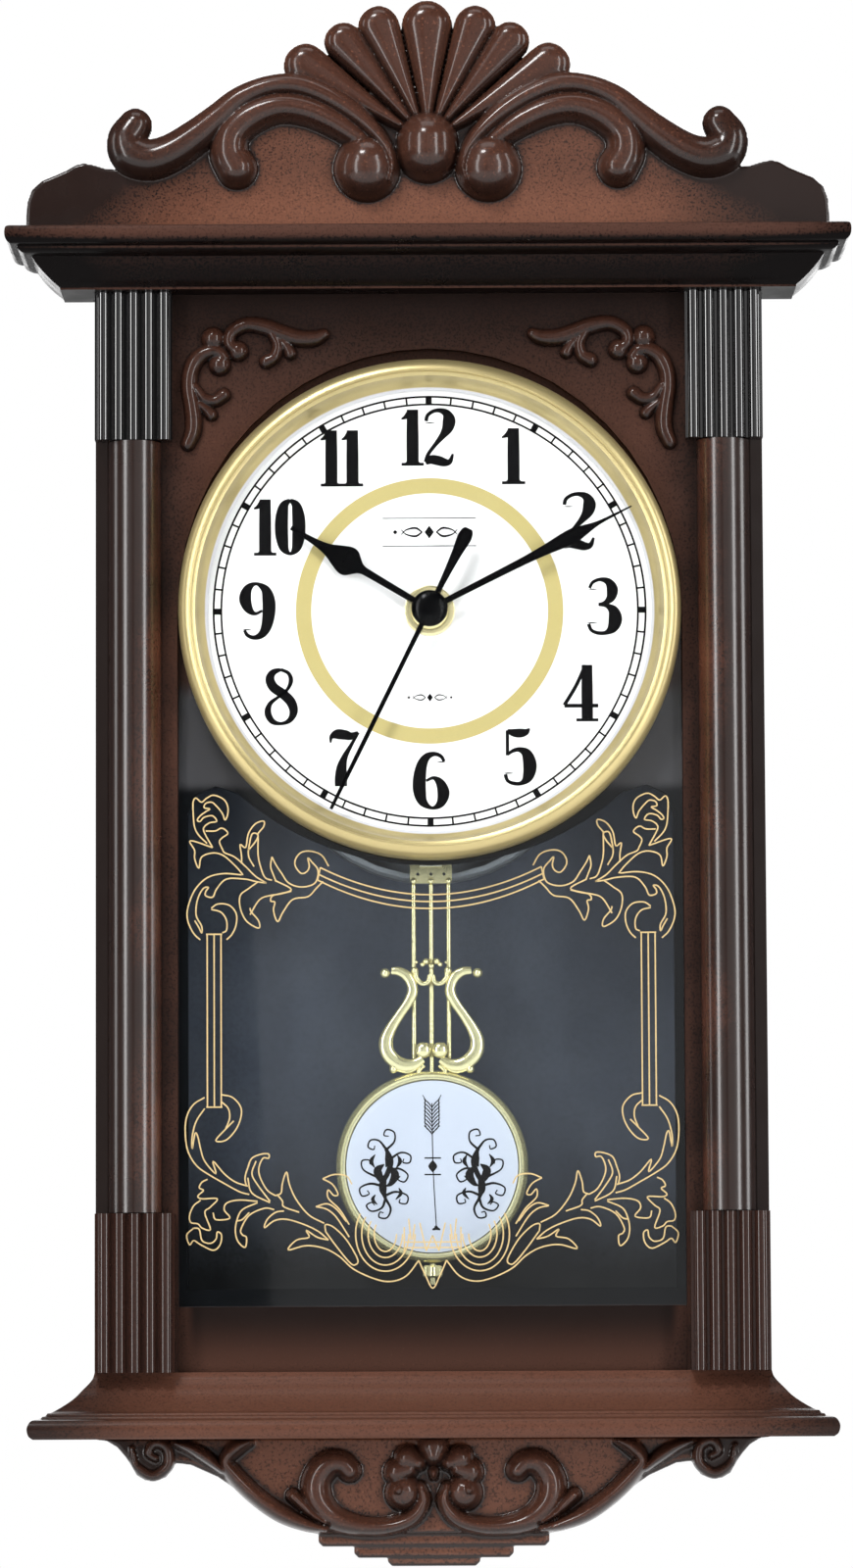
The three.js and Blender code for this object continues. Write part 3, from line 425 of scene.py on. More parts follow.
# The scrolls' low flanks take the near-black light colour, painted shade round the foot of each stroke; they
# also have painted shade in their hollows and on the faces that look down.
SCROLL_BROWN = sprayed_brown(
    "scroll_brown", light=(24, 17, 16), dark=(20, 14, 13), roughness=0.3, fade=PAST_EDGE,
    raised=(58, 38, 31), gloss=0.4, level=0.08, polish=0.05, under=0.75)
# The frame darkens towards its top: painted shade under the cornice.
FRAME_BROWN = sprayed_brown(
    "frame_brown", light=(70, 48, 40), dark=(32, 25, 23), roughness=0.42, fade=(0.09, 0.122),
    height_fade=FRAME_TOP_SHADE, level=0.06, gloss=0.03, pane_edge=True)
DARK_BROWN = sprayed_brown(
    "case_dark", light=(38, 28, 25), dark=(14, 12, 12), roughness=0.26, fade=(0.05, 0.16), level=0.1,
    gloss=0.15, wear=0.04)
# The cornice has painted shade on the faces that look down.
CORNICE_BROWN = sprayed_brown(
    "cornice_brown", light=(72, 51, 44), dark=(15, 12, 12), roughness=0.3, fade=(0.12, 0.2),
    level=0.03, gloss=0.05, wear=0.04, under=0.95)
REED_BROWN = sprayed_brown(
    "reed_brown", light=(46, 32, 27), dark=(12, 10, 10), roughness=0.3, fade=PAST_EDGE,
    height_fade=REED_FADE, gloss=1.0, wear=0.04, level=0.03, polish=0.03, coat_index=1.85)
LOWER_REED_BROWN = sprayed_brown(
    "lower_reed_brown", light=(48, 32, 27), dark=(24, 18, 17), roughness=0.3, fade=PAST_EDGE,
    gloss=0.7, wear=0.04, level=0.03, polish=0.04)
COLUMN_BROWN = sprayed_brown(
    "column_brown", light=(94, 58, 45), dark=(36, 24, 20), roughness=0.3, fade=(0.1, 0.124),
    gloss=0.9, polish=0.2, level=0.1, coat_index=1.55)
BOARD = slate("board_slate", (64, 68, 78), (16, 17, 19), 0.75)
BLACK_PLASTIC = plain("black_plastic", (30, 31, 34), 0.5)
BACK_BLACK = plain("back_black", (26, 26, 28), 0.62, depth=0.0002)
GREY_PLASTIC = plain("grey_plastic", (150, 152, 156), 0.45)
DIAL_WHITE = plain("dial_white", (246, 246, 244), 0.4, speckle=0.015)
INK = plain("ink", (7, 7, 9), 0.5, speckle=0.05, level=0.1)
HAND_BLACK = plain("hand_black", (6, 6, 8), 0.25, speckle=0.05, level=0.1)
PORCELAIN = plain("porcelain", (208, 211, 224), 0.1, speckle=0.02)
NYLON = plain("nylon", (226, 222, 208), 0.42)
RUBBER = plain("rubber", (28, 28, 28), 0.85)
CIRCUIT = plain("circuit_board", (42, 100, 66), 0.5)
JACKET = plain("battery_jacket", (44, 86, 134), 0.3, metallic=0.3)
MAGNET = plain("magnet", (96, 98, 102), 0.4, metallic=0.9)
BEZEL_GOLD = two_tone_ring(
    "bezel_gold", outer=(190, 174, 124), inner=(204, 204, 208), radius=BEZEL_STEP, roughness=0.34)
DIAL_GOLD = plain("dial_gold", (184, 170, 110), 0.4, speckle=0.06)
BRASS = polished("brass", (246, 235, 182), (230, 214, 150), 0.22)
LINE_GOLD = plain("line_gold", (202, 176, 124), 0.4, metallic=0.1, speckle=0.1)
STEEL = polished("steel", (188, 191, 196), (128, 130, 134), 0.3)
COPPER = polished("copper", (176, 98, 56), (120, 62, 34), 0.35)
GLASS = clear("clear_pane", (0.94, 0.965, 0.975), 1.5)
LENS_GLASS = clear("clear_lens", (0.985, 0.99, 0.995), 1.12)

CAD_LOOKS = [
    (DARK_BROWN, ["case_shell"]),
    (FRAME_BROWN, ["front_frame"]),
    (BACK_BLACK, ["back_panel"]),
    (GREY_PLASTIC, ["access_cover"]),
    (BOARD, ["back_board"]),
    (GLASS, ["glass_pane"]),
    (DIAL_WHITE, ["dial_plate"]),
    (LENS_GLASS, ["dial_lens"]),
    (BLACK_PLASTIC, ["movement_front_case", "movement_back_cover", "setting_knob"]),
    (RUBBER, ["sealing_washer"]),
    (JACKET, ["aa_battery"]),
    (CIRCUIT, ["circuit_board"]),
    (STEEL, ["hanger_plate", "battery_contact_positive", "battery_contact_negative", "motor_stator"]),
    (STEEL, [f"case_screw_{number}" for number in range(1, 5)]),
    (COPPER, ["motor_coil", "drive_coil"]),
    (MAGNET, ["motor_rotor", "lever_magnet"]),
    (NYLON, ["step_wheel", "seconds_wheel", "third_wheel", "minute_wheel", "pendulum_lever"]),
    (BRASS, ["centre_wheel", "hour_wheel", "bob_back", "rating_screw"]),
]
BEVEL_ANGLE = math.radians(40)
BEVELLED = {"case_shell": 0.5, "front_frame": 0.45, "back_panel": 0.4, "access_cover": 0.4}


def dress_cad_nodes():
    for material, nodes in CAD_LOOKS:
        for node in nodes:
            piece = frame["nodes"][node]
            piece.data.materials.clear()
            piece.data.materials.append(material)
    for node, width in BEVELLED.items():
        bevel = frame["nodes"][node].modifiers.new("edges", "BEVEL")
        bevel.width = width * MM
        bevel.segments = 3
        bevel.limit_method = "ANGLE"
        bevel.angle_limit = BEVEL_ANGLE


# ---- mesh shapes --------------------------------------------------------------------------------
def spline(rows, steps=8):
    """A smooth path through the rows (Catmull-Rom), every column taken along."""
    rows = np.array(rows, float)
    padded = np.vstack([2 * rows[0] - rows[1], rows, 2 * rows[-1] - rows[-2]])
    samples = []
    for a, b, c, d in zip(padded, padded[1:], padded[2:], padded[3:]):
        for step in range(steps):
            t = step / steps
            samples.append(
                b + 0.5 * t * (c - a + t * (2 * a - 5 * b + 4 * c - d + t * (3 * (b - c) + d - a))))
    return np.array([*samples, rows[-1]])


def mirrored(rows):
    """The rows with x turned over."""
    rows = np.array(rows, float)
    rows[:, 0] *= -1
    return rows


class Shape:
    """Points (x, depth, drop) and faces gathered into one mesh."""

    def __init__(self):
        self.points = []
        self.faces = []

    def add(self, points, faces):
        start = len(self.points)
        self.points.extend(points)
        self.faces.extend([start + index for index in face] for face in faces)

    def prism(self, outline, back, front):
        """A flat outline of (x, drop) between two depths. The outline may be concave."""
        count = len(outline)
        points = [(x, back, drop) for x, drop in outline] + [(x, front, drop) for x, drop in outline]
        walls = [
            (step, (step + 1) % count, count + (step + 1) % count, count + step)
            for step in range(count)
        ]
        self.add(points, [*walls, range(count, 2 * count), range(count - 1, -1, -1)])

    def lathe(self, profile, x=0, drop=CENTRE, segments=160):
        """A profile of (radius, depth), from axis to axis or closed on itself, round the Y axis."""
        closed = profile[0][0] > 0
        rings = []
        points = []
        for radius, depth in profile:
            if radius == 0:
                rings.append([len(points)] * segments)
                points.append((x, depth, drop))
                continue
            rings.append(list(range(len(points), len(points) + segments)))
            for step in range(segments):
                angle = 2 * math.pi * step / segments
                points.append((x + radius * math.sin(angle), depth, drop - radius * math.cos(angle)))
        pairs = list(zip(rings, rings[1:]))
        if closed:
            pairs.append((rings[-1], rings[0]))
        faces = []
        for first, second in pairs:
            for step in range(segments):
                turn = (step + 1) % segments
                corners = [first[step], first[turn], second[turn], second[step]]
                faces.append(list(dict.fromkeys(corners)))
        self.add(points, faces)

    def tube(self, rows, sides=14):
        """A round rod along rows of (x, depth, drop, radius), closed at both ends."""
        rows = np.array(rows, float)
        path = rows[:, :3]
        along = np.gradient(path, axis=0)
        along /= np.linalg.norm(along, axis=1)[:, None]
        across = np.cross(along[0], (0, 1, 0) if abs(along[0][1]) < 0.9 else (1, 0, 0))
        points = []
        for centre, direction, radius in zip(path, along, rows[:, 3]):
            across = across - direction * across.dot(direction)
            across = across / np.linalg.norm(across)
            other = np.cross(direction, across)
            for side in range(sides):
                angle = 2 * math.pi * side / sides
                points.append(centre + radius * (math.cos(angle) * across + math.sin(angle) * other))
        faces = [range(sides), range(len(points) - 1, len(points) - 1 - sides, -1)]
        for ring in range(len(rows) - 1):
            for side in range(sides):
                turn = (side + 1) % sides
                low, high = ring * sides, (ring + 1) * sides
                faces.append((low + side, low + turn, high + turn, high + side))
        self.add([tuple(point) for point in points], faces)

    def ball(self, x, depth, drop, radius, segments=20):
        levels = 12
        steps = [math.pi * step / levels for step in range(levels + 1)]
        profile = [(radius * math.sin(angle), depth - radius * math.cos(angle)) for angle in steps]
        profile[0] = (0, depth - radius)
        profile[-1] = (0, depth + radius)
        self.lathe(profile, x, drop, segments)

    def line(self, rows, back, front, surface=None):
        """A flat line along rows of (x, drop, width); surface(x, drop) adds to its depths."""
        rows = np.array(rows, float)
        path = rows[:, :2]
        along = np.gradient(path, axis=0)
        along /= np.maximum(np.linalg.norm(along, axis=1), 1e-9)[:, None]
        normal = np.stack([-along[:, 1], along[:, 0]], axis=1)
        offset = normal * rows[:, 2:3] / 2
        points = []
        for depth in (back, front):
            for edge in (path + offset, path - offset):
                lift = [surface(*spot) if surface else 0 for spot in edge]
                points.extend((x, depth + rise, drop) for (x, drop), rise in zip(edge, lift))
        count = len(rows)
        back_a, back_b, front_a, front_b = (range(count * part, count * (part + 1)) for part in range(4))
        around = [(back_b, back_a), (front_a, front_b), (back_a, front_a), (front_b, back_b)]
        faces = []
        for step in range(count - 1):
            for first, second in around:
                faces.append((first[step], first[step + 1], second[step + 1], second[step]))
        for step in (0, -1):
            faces.append((back_a[step], back_b[step], front_b[step], front_a[step]))
        self.add(points, faces)


def make_piece(name, shape, material, body="case", nodes=(), shades=None):
    """The shape as an object that rides on a body and stands for the CAD nodes named."""
    mesh = bpy.data.meshes.new(name)
    mesh.from_pydata([place(*point) for point in shape.points], [], [list(f) for f in shape.faces])
    for label, values in (shades or {}).items():
        attribute = mesh.attributes.new(label, "FLOAT", "POINT")
        attribute.data.foreach_set("value", np.array(values, np.float32))
    work = bmesh.new()
    work.from_mesh(mesh)
    bmesh.ops.recalc_face_normals(work, faces=work.faces)
    for face in work.faces:
        face.smooth = True
    for edge in work.edges:
        edge.smooth = len(edge.link_faces) == 2 and edge.calc_face_angle(math.pi) < SHARP_ANGLE
    work.to_mesh(mesh)
    work.free()
    mesh.materials.append(material)
    piece = bpy.data.objects.new(name, mesh)
    bpy.context.scene.collection.objects.link(piece)
    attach(piece, body)
    if nodes:
        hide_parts(*nodes)
    return piece


# ---- case mouldings -----------------------------------------------------------------------------
CORNICE_PROFILE = [
    (29.4, 81.6), (30.6, 82.3), (31, 84.2), (30.7, 86.4), (29.6, 87.8), (28, 88.4), (26.8, 88.6),
    (26.4, 89.6), (25.4, 90.4), (23.6, 91.2), (21.9, 91.6), (21.2, 92.4), (19.6, 94.6), (17.4, 97),
    (14.8, 99.4), (13, 100.8), (12.2, 101.4), (12, 102.25),
]
PLINTH_PROFILE = [
    (0.1, 493.75), (0.7, 495.8), (2, 497.6), (4.2, 499.9), (7, 502.8), (10.6, 505.4), (14.4, 507.6),
    (16, 508), (16.6, 508.8), (17.8, 509.2), (18.4, 510), (20.2, 510.1), (21.8, 510.8), (22.8, 512.4),
    (23, 514), (22.4, 516), (21, 517.2),
]
REED_COUNT = 5
REED_PITCH = 5.5
REED_RADIUS = 2.35
BLOCK_BASE = 2.1
REED_STEPS = 12
COLUMN_STEPS = 48


def moulding(name, profile, extent, material):
    """Rings of a mitred moulding round three sides of the case, from (projection, drop)."""
    shape = Shape()
    rows = spline(profile, 5)
    points = []
    for projection, drop in rows:
        half = CASE.half + projection
        front = FRONT.front + projection
        ring = [(-half, extent.back), (-half, front), (half, front), (half, extent.back)]
        points.extend((x, depth, drop) for x, depth in ring)
    faces = [(3, 2, 1, 0), range(len(points) - 4, len(points))]
    for level in range(len(rows) - 1):
        for corner in range(4):
            turn = (corner + 1) % 4
            low, high = 4 * level, 4 * level + 4
            faces.append((low + corner, low + turn, high + turn, high + corner))
    shape.add(points, faces)
    make_piece(f"{name}_moulding", shape, material, nodes=[name])


def extrude_upright(plan, top, bottom):
    """A closed plan of (x, depth) carried down from one drop to another."""
    shape = Shape()
    count = len(plan)
    points = [(x, depth, top) for x, depth in plan] + [(x, depth, bottom) for x, depth in plan]
    walls = [
        (step, (step + 1) % count, count + (step + 1) % count, count + step) for step in range(count)]
    shape.add(points, [*walls, range(count), range(2 * count - 1, count - 1, -1)])
    return shape


def reeded_block(node, material):
    block = Extent(node)
    base = block.front - BLOCK_BASE
    first = block.x - REED_PITCH * (REED_COUNT - 1) / 2
    plan = [(block.left, block.back), (block.left, base)]
    for reed in range(REED_COUNT):
        for step in range(REED_STEPS + 1):
            angle = math.pi * (1 - step / REED_STEPS)
            across = REED_RADIUS * math.cos(angle)
            plan.append((first + reed * REED_PITCH + across, base + BLOCK_BASE * math.sin(angle)))
    plan += [(block.right, base), (block.right, block.back)]
    shape = extrude_upright(plan, block.top, block.bottom)
    make_piece(f"{node}_reeds", shape, material, nodes=[node])


def column(node):
    shaft = Extent(node)
    radius = shaft.half
    depth = shaft.front - shaft.back
    arc = [math.pi * (1 - step / COLUMN_STEPS) for step in range(COLUMN_STEPS + 1)]
    plan = [(shaft.x + radius * math.cos(a), shaft.back + depth * math.sin(a)) for a in arc]
    make_piece(f"{node}_round", extrude_upright(plan, shaft.top, shaft.bottom), COLUMN_BROWN,
               nodes=[node])


# ---- carved reliefs -----------------------------------------------------------------------------
RELIEF_PITCH = 0.42
SCROLL_PITCH = 0.34
SHOULDER = 0.65
# Depth below the surrounding surface that scales the painted shade in a hollow.
RECESS_SHADE_DEPTH = 2.2
PLATE_DEPTH = 8
MARGIN = 2


class Relief:
    """A carved surface over a grid of (x, drop), kept as front depths and distances outside it."""

    FAR = 1e3

    def __init__(self, left, right, top, bottom, pitch, back):
        self.x, self.drop = np.meshgrid(
            np.arange(left, right + pitch, pitch), np.arange(top, bottom + pitch, pitch))
        self.front = np.full(self.x.shape, back, float)
        self.outside = np.full(self.x.shape, self.FAR)
        self.back = back

    def near(self, rows, symmetric):
        """Distance past the edge of a tapering stroke, with its radius and height there."""
        across = -np.abs(self.x) if symmetric else self.x
        best = np.full(self.x.shape, self.FAR)
        radius = np.ones(self.x.shape)
        height = np.zeros(self.x.shape)
        for x, drop, reach, rise in rows:
            distance = np.hypot(across - x, self.drop - drop) - reach
            closer = distance < best
            best[closer] = distance[closer]
            radius[closer] = reach
            height[closer] = rise
        return best, radius, height

    def stroke(self, rows, base, flat=1.0, symmetric=True, steps=14):
        """A rounded ridge along (x, drop, radius, height); flat above 1 broadens its top."""
        edge, radius, height = self.near(spline(rows, steps), symmetric)
        inside = np.clip(-edge / radius, 0, 1)
        crown = (1 - (1 - inside) ** (1 + flat)) ** SHOULDER
        self.front = np.where(edge < 0, np.maximum(self.front, base + height * crown), self.front)
        self.outside = np.minimum(self.outside, edge)

    def plate(self, outline, front, edge_radius=1.2):
        """A flat area inside a closed outline of (x, drop), its edge rounded over."""
        outline = np.array(outline, float)
        inside = np.zeros(self.x.shape, bool)
        distance = np.full(self.x.shape, self.FAR)
        for (ax, ay), (bx, by) in zip(outline, np.roll(outline, -1, axis=0)):
            span = max((bx - ax) ** 2 + (by - ay) ** 2, 1e-12)
            along = np.clip(((self.x - ax) * (bx - ax) + (self.drop - ay) * (by - ay)) / span, 0, 1)
            distance = np.minimum(
                distance, np.hypot(self.x - ax - along * (bx - ax), self.drop - ay - along * (by - ay)))
            if ay != by:
                crosses = (ay > self.drop) != (by > self.drop)
                inside ^= crosses & (self.x < (bx - ax) * (self.drop - ay) / (by - ay) + ax)
        signed = np.where(inside, -distance, distance)
        round_over = np.clip(-signed / edge_radius, 0, 1)
        level = front - edge_radius * (1 - np.sqrt(1 - (1 - round_over) ** 2))
        self.front = np.where(signed < 0, np.maximum(self.front, level), self.front)
        self.outside = np.minimum(self.outside, signed)

    def recess_shading(self):
        """Painted shade for each point: how far it lies below the surface around it, from 0 to a half."""
        kernel = np.exp(-0.5 * np.linspace(-2, 2, 15) ** 2)
        kernel /= kernel.sum()
        around = self.front
        for axis in (0, 1):
            around = np.apply_along_axis(lambda row: np.convolve(row, kernel, "same"), axis, around)
        return np.clip((around - self.front) / RECESS_SHADE_DEPTH, 0, 0.5)

    def shape(self):
        """The part inside the outline as one closed mesh, cut exactly along the outline."""
        rows, columns = self.x.shape
        recess_shade = self.recess_shading()
        shape = Shape()
        shade = []
        found = {}

        def corner(i, j):
            if (i, j) not in found:
                found[i, j] = len(shape.points)
                shape.points.append((self.x[i, j], self.front[i, j], self.drop[i, j]))
                shade.append(recess_shade[i, j])
            return found[i, j]

        def crossing(a, b):
            key = (min(a, b), max(a, b))
            if key not in found:
                inner, outer = (a, b) if self.outside[a] < 0 else (b, a)
                share = self.outside[inner] / (self.outside[inner] - self.outside[outer])
                share = min(max(share, 0.02), 0.98)
                x, drop = (
                    grid[inner] + share * (grid[outer] - grid[inner]) for grid in (self.x, self.drop))
                found[key] = len(shape.points)
                shape.points.append((x, self.front[inner], drop))
                shade.append(recess_shade[inner])
            return found[key]

        within = self.outside < 0
        for i in range(rows - 1):
            for j in range(columns - 1):
                around = [(i, j), (i, j + 1), (i + 1, j + 1), (i + 1, j)]
                states = [within[spot] for spot in around]
                if not any(states):
                    continue
                ring = []
                for spot, state, after, then in zip(
                        around, states, around[1:] + around[:1], states[1:] + states[:1]):
                    if state:
                        ring.append(corner(*spot))
                    if state != then:
                        ring.append(crossing(spot, after))
                shape.faces.append(ring)
        return self.close(shape, shade)

    def close(self, shape, shade):
        """Adds the side walls and the flat back to the front surface."""
        uses = {}
        for face in shape.faces:
            for a, b in zip(face, face[1:] + face[:1]):
                key = (min(a, b), max(a, b))
                uses.setdefault(key, []).append((a, b))
        border = [pairs[0] for pairs in uses.values() if len(pairs) == 1]
        behind = {}
        for a, b in border:
            for point in (a, b):
                if point not in behind:
                    x, _, drop = shape.points[point]
                    behind[point] = len(shape.points)
                    shape.points.append((x, self.back, drop))
                    shade.append(0)
            shape.faces.append([b, a, behind[a], behind[b]])
        following = {behind[a]: behind[b] for a, b in border}
        while following:
            start, point = next(iter(following.items()))
            loop = [start]
            del following[start]
            while point != start:
                loop.append(point)
                point = following.pop(point)
            shape.faces.append(loop)
        return shape, shade


def soften(piece):
    """Evens out the steps that the grid leaves along a carved outline."""
    smoother = piece.modifiers.new("soft", "SMOOTH")
    smoother.factor = 0.5
    smoother.iterations = 4


def raised_share(shape, plate):
    """How far each point has risen above the plate, from 0 to 1 within about two millimetres."""
    return [min(max((depth - plate - 0.4) / 2, 0), 1) for _, depth, _ in shape.points]


CORNER_FULLNESS = 1.26
SHELL_DROP = 49.4
SHELL_RISE = 6.4
SHELL_TOP = -6
# The shell's lobes on one side: each turned by an angle, with its reach and its spread in degrees.
LOBES = [(0, 53.4, 12.2), (21.8, 54.9, 9.4), (38.4, 56, 8.6), (56.2, 61.3, 8.8)]


def carve(name, node, relief, plate, material):
    """Makes the relief a piece, with painted shade in its hollows and another colour where it rises over its
    plate.
    """
    shape, recess_shade = relief.shape()
    shades = {"recess_shade": recess_shade, "raised": raised_share(shape, plate)}
    soften(make_piece(name, shape, material, nodes=[node], shades=shades))


def crest():
    relief = Relief(CREST.left - MARGIN, CREST.right + MARGIN, SHELL_TOP, CREST.bottom + MARGIN,
                    RELIEF_PITCH, CREST.back)
    plate_front = CREST.back + PLATE_DEPTH
    left = [
        (-146, 81.2), (-146, 76), (-145.6, 70), (-144, 65.4), (-140.3, 62), (-135, 59.8), (-131.4, 58.2),
        (-128, 56.2), (-125, 55.5), (-121.4, 56.2), (-117, 57.6), (-112, 58), (-100, 50), (-84, 44),
        (-66, 30), (-50, 26), (-40, 30),
    ]
    relief.plate([*left, *mirrored(left[::-1]).tolist()], plate_front)
    for angle, reach, spread in LOBES:
        turn = math.radians(angle)
        opening = math.sin(math.radians(spread))
        tip = reach * opening / (1 + opening)
        rows = []
        for distance in (12, 26, reach - tip):
            x = -distance * math.sin(turn)
            rows.append((x, SHELL_DROP - distance * math.cos(turn), distance * opening, SHELL_RISE))
        relief.stroke(rows, plate_front - 1.6, flat=2, steps=30)
    relief.stroke([
        (-106.2, 42, 6.4, 6), (-109, 47.2, 7.4, 7), (-107.6, 52.4, 7.9, 8), (-101, 54.6, 7.6, 8),
        (-93, 52, 7.2, 8), (-84, 46, 6.6, 8), (-76, 39.4, 5.8, 8), (-68, 32.8, 5.2, 8),
        (-58, 28.6, 4.8, 8), (-48, 28, 4.9, 8), (-38, 31.4, 4.8, 8), (-28, 37.6, 4.5, 8.4),
        (-20, 44.8, 3.7, 8.8), (-14.6, 52, 2.7, 9), (-12.8, 58.6, 1.8, 9), (-13.8, 63.6, 1.3, 8),
    ], plate_front, flat=1.2)
    relief.stroke([
        (-69.2, 58.4, 7.4, 8), (-72, 52.6, 7, 8), (-70.8, 45.4, 6.7, 8), (-64, 39.2, 6.5, 8),
        (-54, 35.8, 6, 8), (-44, 37, 5.8, 8), (-34.5, 41.2, 5.4, 7.6), (-26.5, 46.6, 4.6, 7),
        (-20.5, 51.2, 3.4, 6),
    ], plate_front, flat=1.2)
    relief.stroke([(-22, 58.6, 12, 11), (-22, 57, 11.4, 11)], plate_front, flat=1.1, steps=3)
    relief.stroke([(0, 48.6, 11, 11.6), (0, 52.6, 11.2, 11.8)], plate_front, flat=1, steps=3)
    carve("crest_carving", "crest_pediment", relief, plate_front, CARVED)


def apron():
    relief = Relief(APRON.left - MARGIN, APRON.right + MARGIN, APRON.top, APRON.bottom + MARGIN,
                    RELIEF_PITCH, APRON.back)
    plate_front = APRON.back + PLATE_DEPTH
    left = [
        (-121.2, 516), (-121.2, 517.6), (-117, 518.2), (-113.4, 520.4), (-110.6, 523.6), (-108.2, 527),
        (-106.4, 530.4), (-103.4, 532.2), (-100, 532.6), (-96, 531.2), (-93.8, 528), (-92.4, 526.2),
        (-87, 526.8), (-77.2, 531.2), (-67.4, 538), (-58, 545), (-48.2, 549.4), (-42, 551.6),
    ]
    relief.plate([*left, *mirrored(left[::-1]).tolist()], plate_front)
    for outer, bottom, fall in [(41.4, 556.2, 2.0), (28.6, 560.3, 3.2), (16.6, APRON.bottom, 4.4)]:
        ledge = [(-outer, 545), (-outer, bottom - 1.6), (-outer + 1.6, bottom), (0, bottom)]
        relief.plate([*ledge, *mirrored(ledge[-2::-1]).tolist()], plate_front - fall, 1.4)
    rise = APRON.front - plate_front - 2.4
    relief.stroke([
        (-108, 520.6, 1, 1.6), (-106.4, 527, 1.6, 2), (-100.6, 530.6, 2, 2.4), (-95.2, 527, 2, 2.6),
        (-95.4, 520.8, 2, 2.6), (-99.8, 519, 1.8, 2.6), (-102, 522.4, 1.6, 2.4), (-99.6, 524.4, 1.4, 2.2),
    ], plate_front, flat=1.4)
    relief.stroke([
        (-92.4, 519, 1.4, rise), (-87, 520.8, 2.2, rise), (-81.6, 524, 2.4, rise),
        (-75.6, 528.6, 1.6, rise),
    ], plate_front)
    relief.stroke([
        (-66, 518.6, 1.8, rise), (-70.6, 520.8, 3, rise), (-74.4, 525.4, 2.6, rise),
        (-71.6, 530, 3.3, rise), (-64, 537.6, 3.4, rise), (-54.8, 544.2, 3.3, rise),
        (-45.4, 548.2, 2.6, rise), (-38.6, 549.8, 1.6, rise),
    ], plate_front)
    relief.stroke([
        (-50.4, 537.8, 2.5, rise), (-47, 541, 2.4, rise), (-43.4, 544.4, 1.8, rise), (-38.9, 547.4, 1, rise),
    ], plate_front)
    relief.stroke([
        (-30, 529, 4.2, 7), (-33, 526.4, 4.4, 7), (-38, 527, 5, 7), (-42, 532.6, 5.4, 7),
        (-41.2, 540, 5.4, 7),
        (-35.4, 546, 4.6, 7), (-26, 548.8, 3.6, 7), (-16, 548.8, 3.3, 7), (-7.6, 545.8, 3.1, 7),
        (-3.7, 540, 2.6, 7), (-4.6, 534.6, 1.8, 7),
    ], plate_front, flat=1.2)
    relief.stroke([(-10.9, 537, 6.6, 7.4), (-10.7, 536.6, 6.4, 7.6)], plate_front, flat=1.5, steps=3)
    relief.stroke([(-12.6, 536, 2.8, 9.4), (-12.4, 535.6, 2.6, 9.6)], plate_front, steps=3)
    relief.stroke([(-12.8, 529.6, 5.2, 6.2), (-9, 528.6, 3.6, 6.6)], plate_front, flat=1.3, steps=5)
    relief.stroke([(-9.4, 524.6, 5, 7), (-5.6, 526.4, 3.2, 7.2)], plate_front, flat=1.3, steps=5)
    relief.stroke([(0, 520.6, 5.8, 7.8), (0, 523.4, 4.4, 8)], plate_front, flat=1.3, steps=5)
    relief.stroke([(0, 529.4, 1.8, 9), (0, 531.2, 1.3, 8.8)], plate_front, steps=5)
    carve("apron_carving", "lower_apron", relief, plate_front, CARVED)


# The left corner's strokes, as (x, drop, radius, height); the right corner has their mirror image.
CORNER_STROKES = [
    [(-78.5, 118.8, 3.6, 4.2), (-78.4, 118.6, 3.5, 4.2)],
    [(-69.2, 123.4, 3.2, 3.8), (-69.4, 123.2, 3.1, 3.8)],
    [(-70.2, 123, 2.2, 3.6), (-72.6, 120.2, 2.1, 3.6), (-71.4, 116.4, 2.3, 3.6), (-66.3, 113.7, 2.4, 3.6),
     (-59.9, 114.4, 2.6, 3.6), (-53.5, 116.8, 2.7, 3.6), (-47, 118.8, 2.7, 3.6), (-41.3, 118.8, 2.5, 3.4),
     (-38, 117.4, 1.9, 3)],
    [(-57, 117, 1.7, 3.2), (-55, 121.2, 1.9, 3.2), (-56, 125.4, 2.1, 3.2), (-59, 127.2, 2.4, 3.2)],
    [(-53.8, 118.6, 1.2, 2.8), (-51.4, 122.2, 1.7, 2.8), (-50.2, 124.4, 2, 2.8)],
    [(-76, 128.4, 3.4, 3.8), (-76, 128.2, 3.3, 3.8)],
    [(-74.4, 126, 1.9, 3.4), (-76.6, 123.6, 2.1, 3.6), (-80.4, 123.6, 2.4, 3.6), (-84.4, 126.4, 2.6, 3.6),
     (-86.7, 131.6, 2.6, 3.6), (-87.1, 137.3, 2.6, 3.6), (-86.2, 143, 2.6, 3.6), (-85.5, 148.7, 2.7, 3.6),
     (-85.8, 153, 2.6, 3.4), (-87.6, 157.4, 2.3, 3)],
    [(-84.8, 136.6, 1.4, 3.2), (-81.7, 140.7, 1.8, 3.2), (-77.8, 141.5, 2.1, 3.2), (-74.6, 139.4, 2.3, 3.2)],
    [(-83.6, 142.6, 1.2, 2.8), (-80.7, 145, 1.7, 2.8), (-79, 146.8, 2, 2.8)],
]


def corner_scroll(node, side):
    box = Extent(node)
    relief = Relief(box.left - MARGIN, box.right + MARGIN, box.top - MARGIN, box.bottom + MARGIN,
                    SCROLL_PITCH, box.back)
    for rows in CORNER_STROKES:
        rows = np.array(rows) * (1, 1, CORNER_FULLNESS, 1)
        rows = rows if side < 0 else mirrored(rows)
        relief.stroke(rows, box.back, symmetric=False, steps=12)
    carve(f"{node}_carving", node, relief, box.back, SCROLL_BROWN)


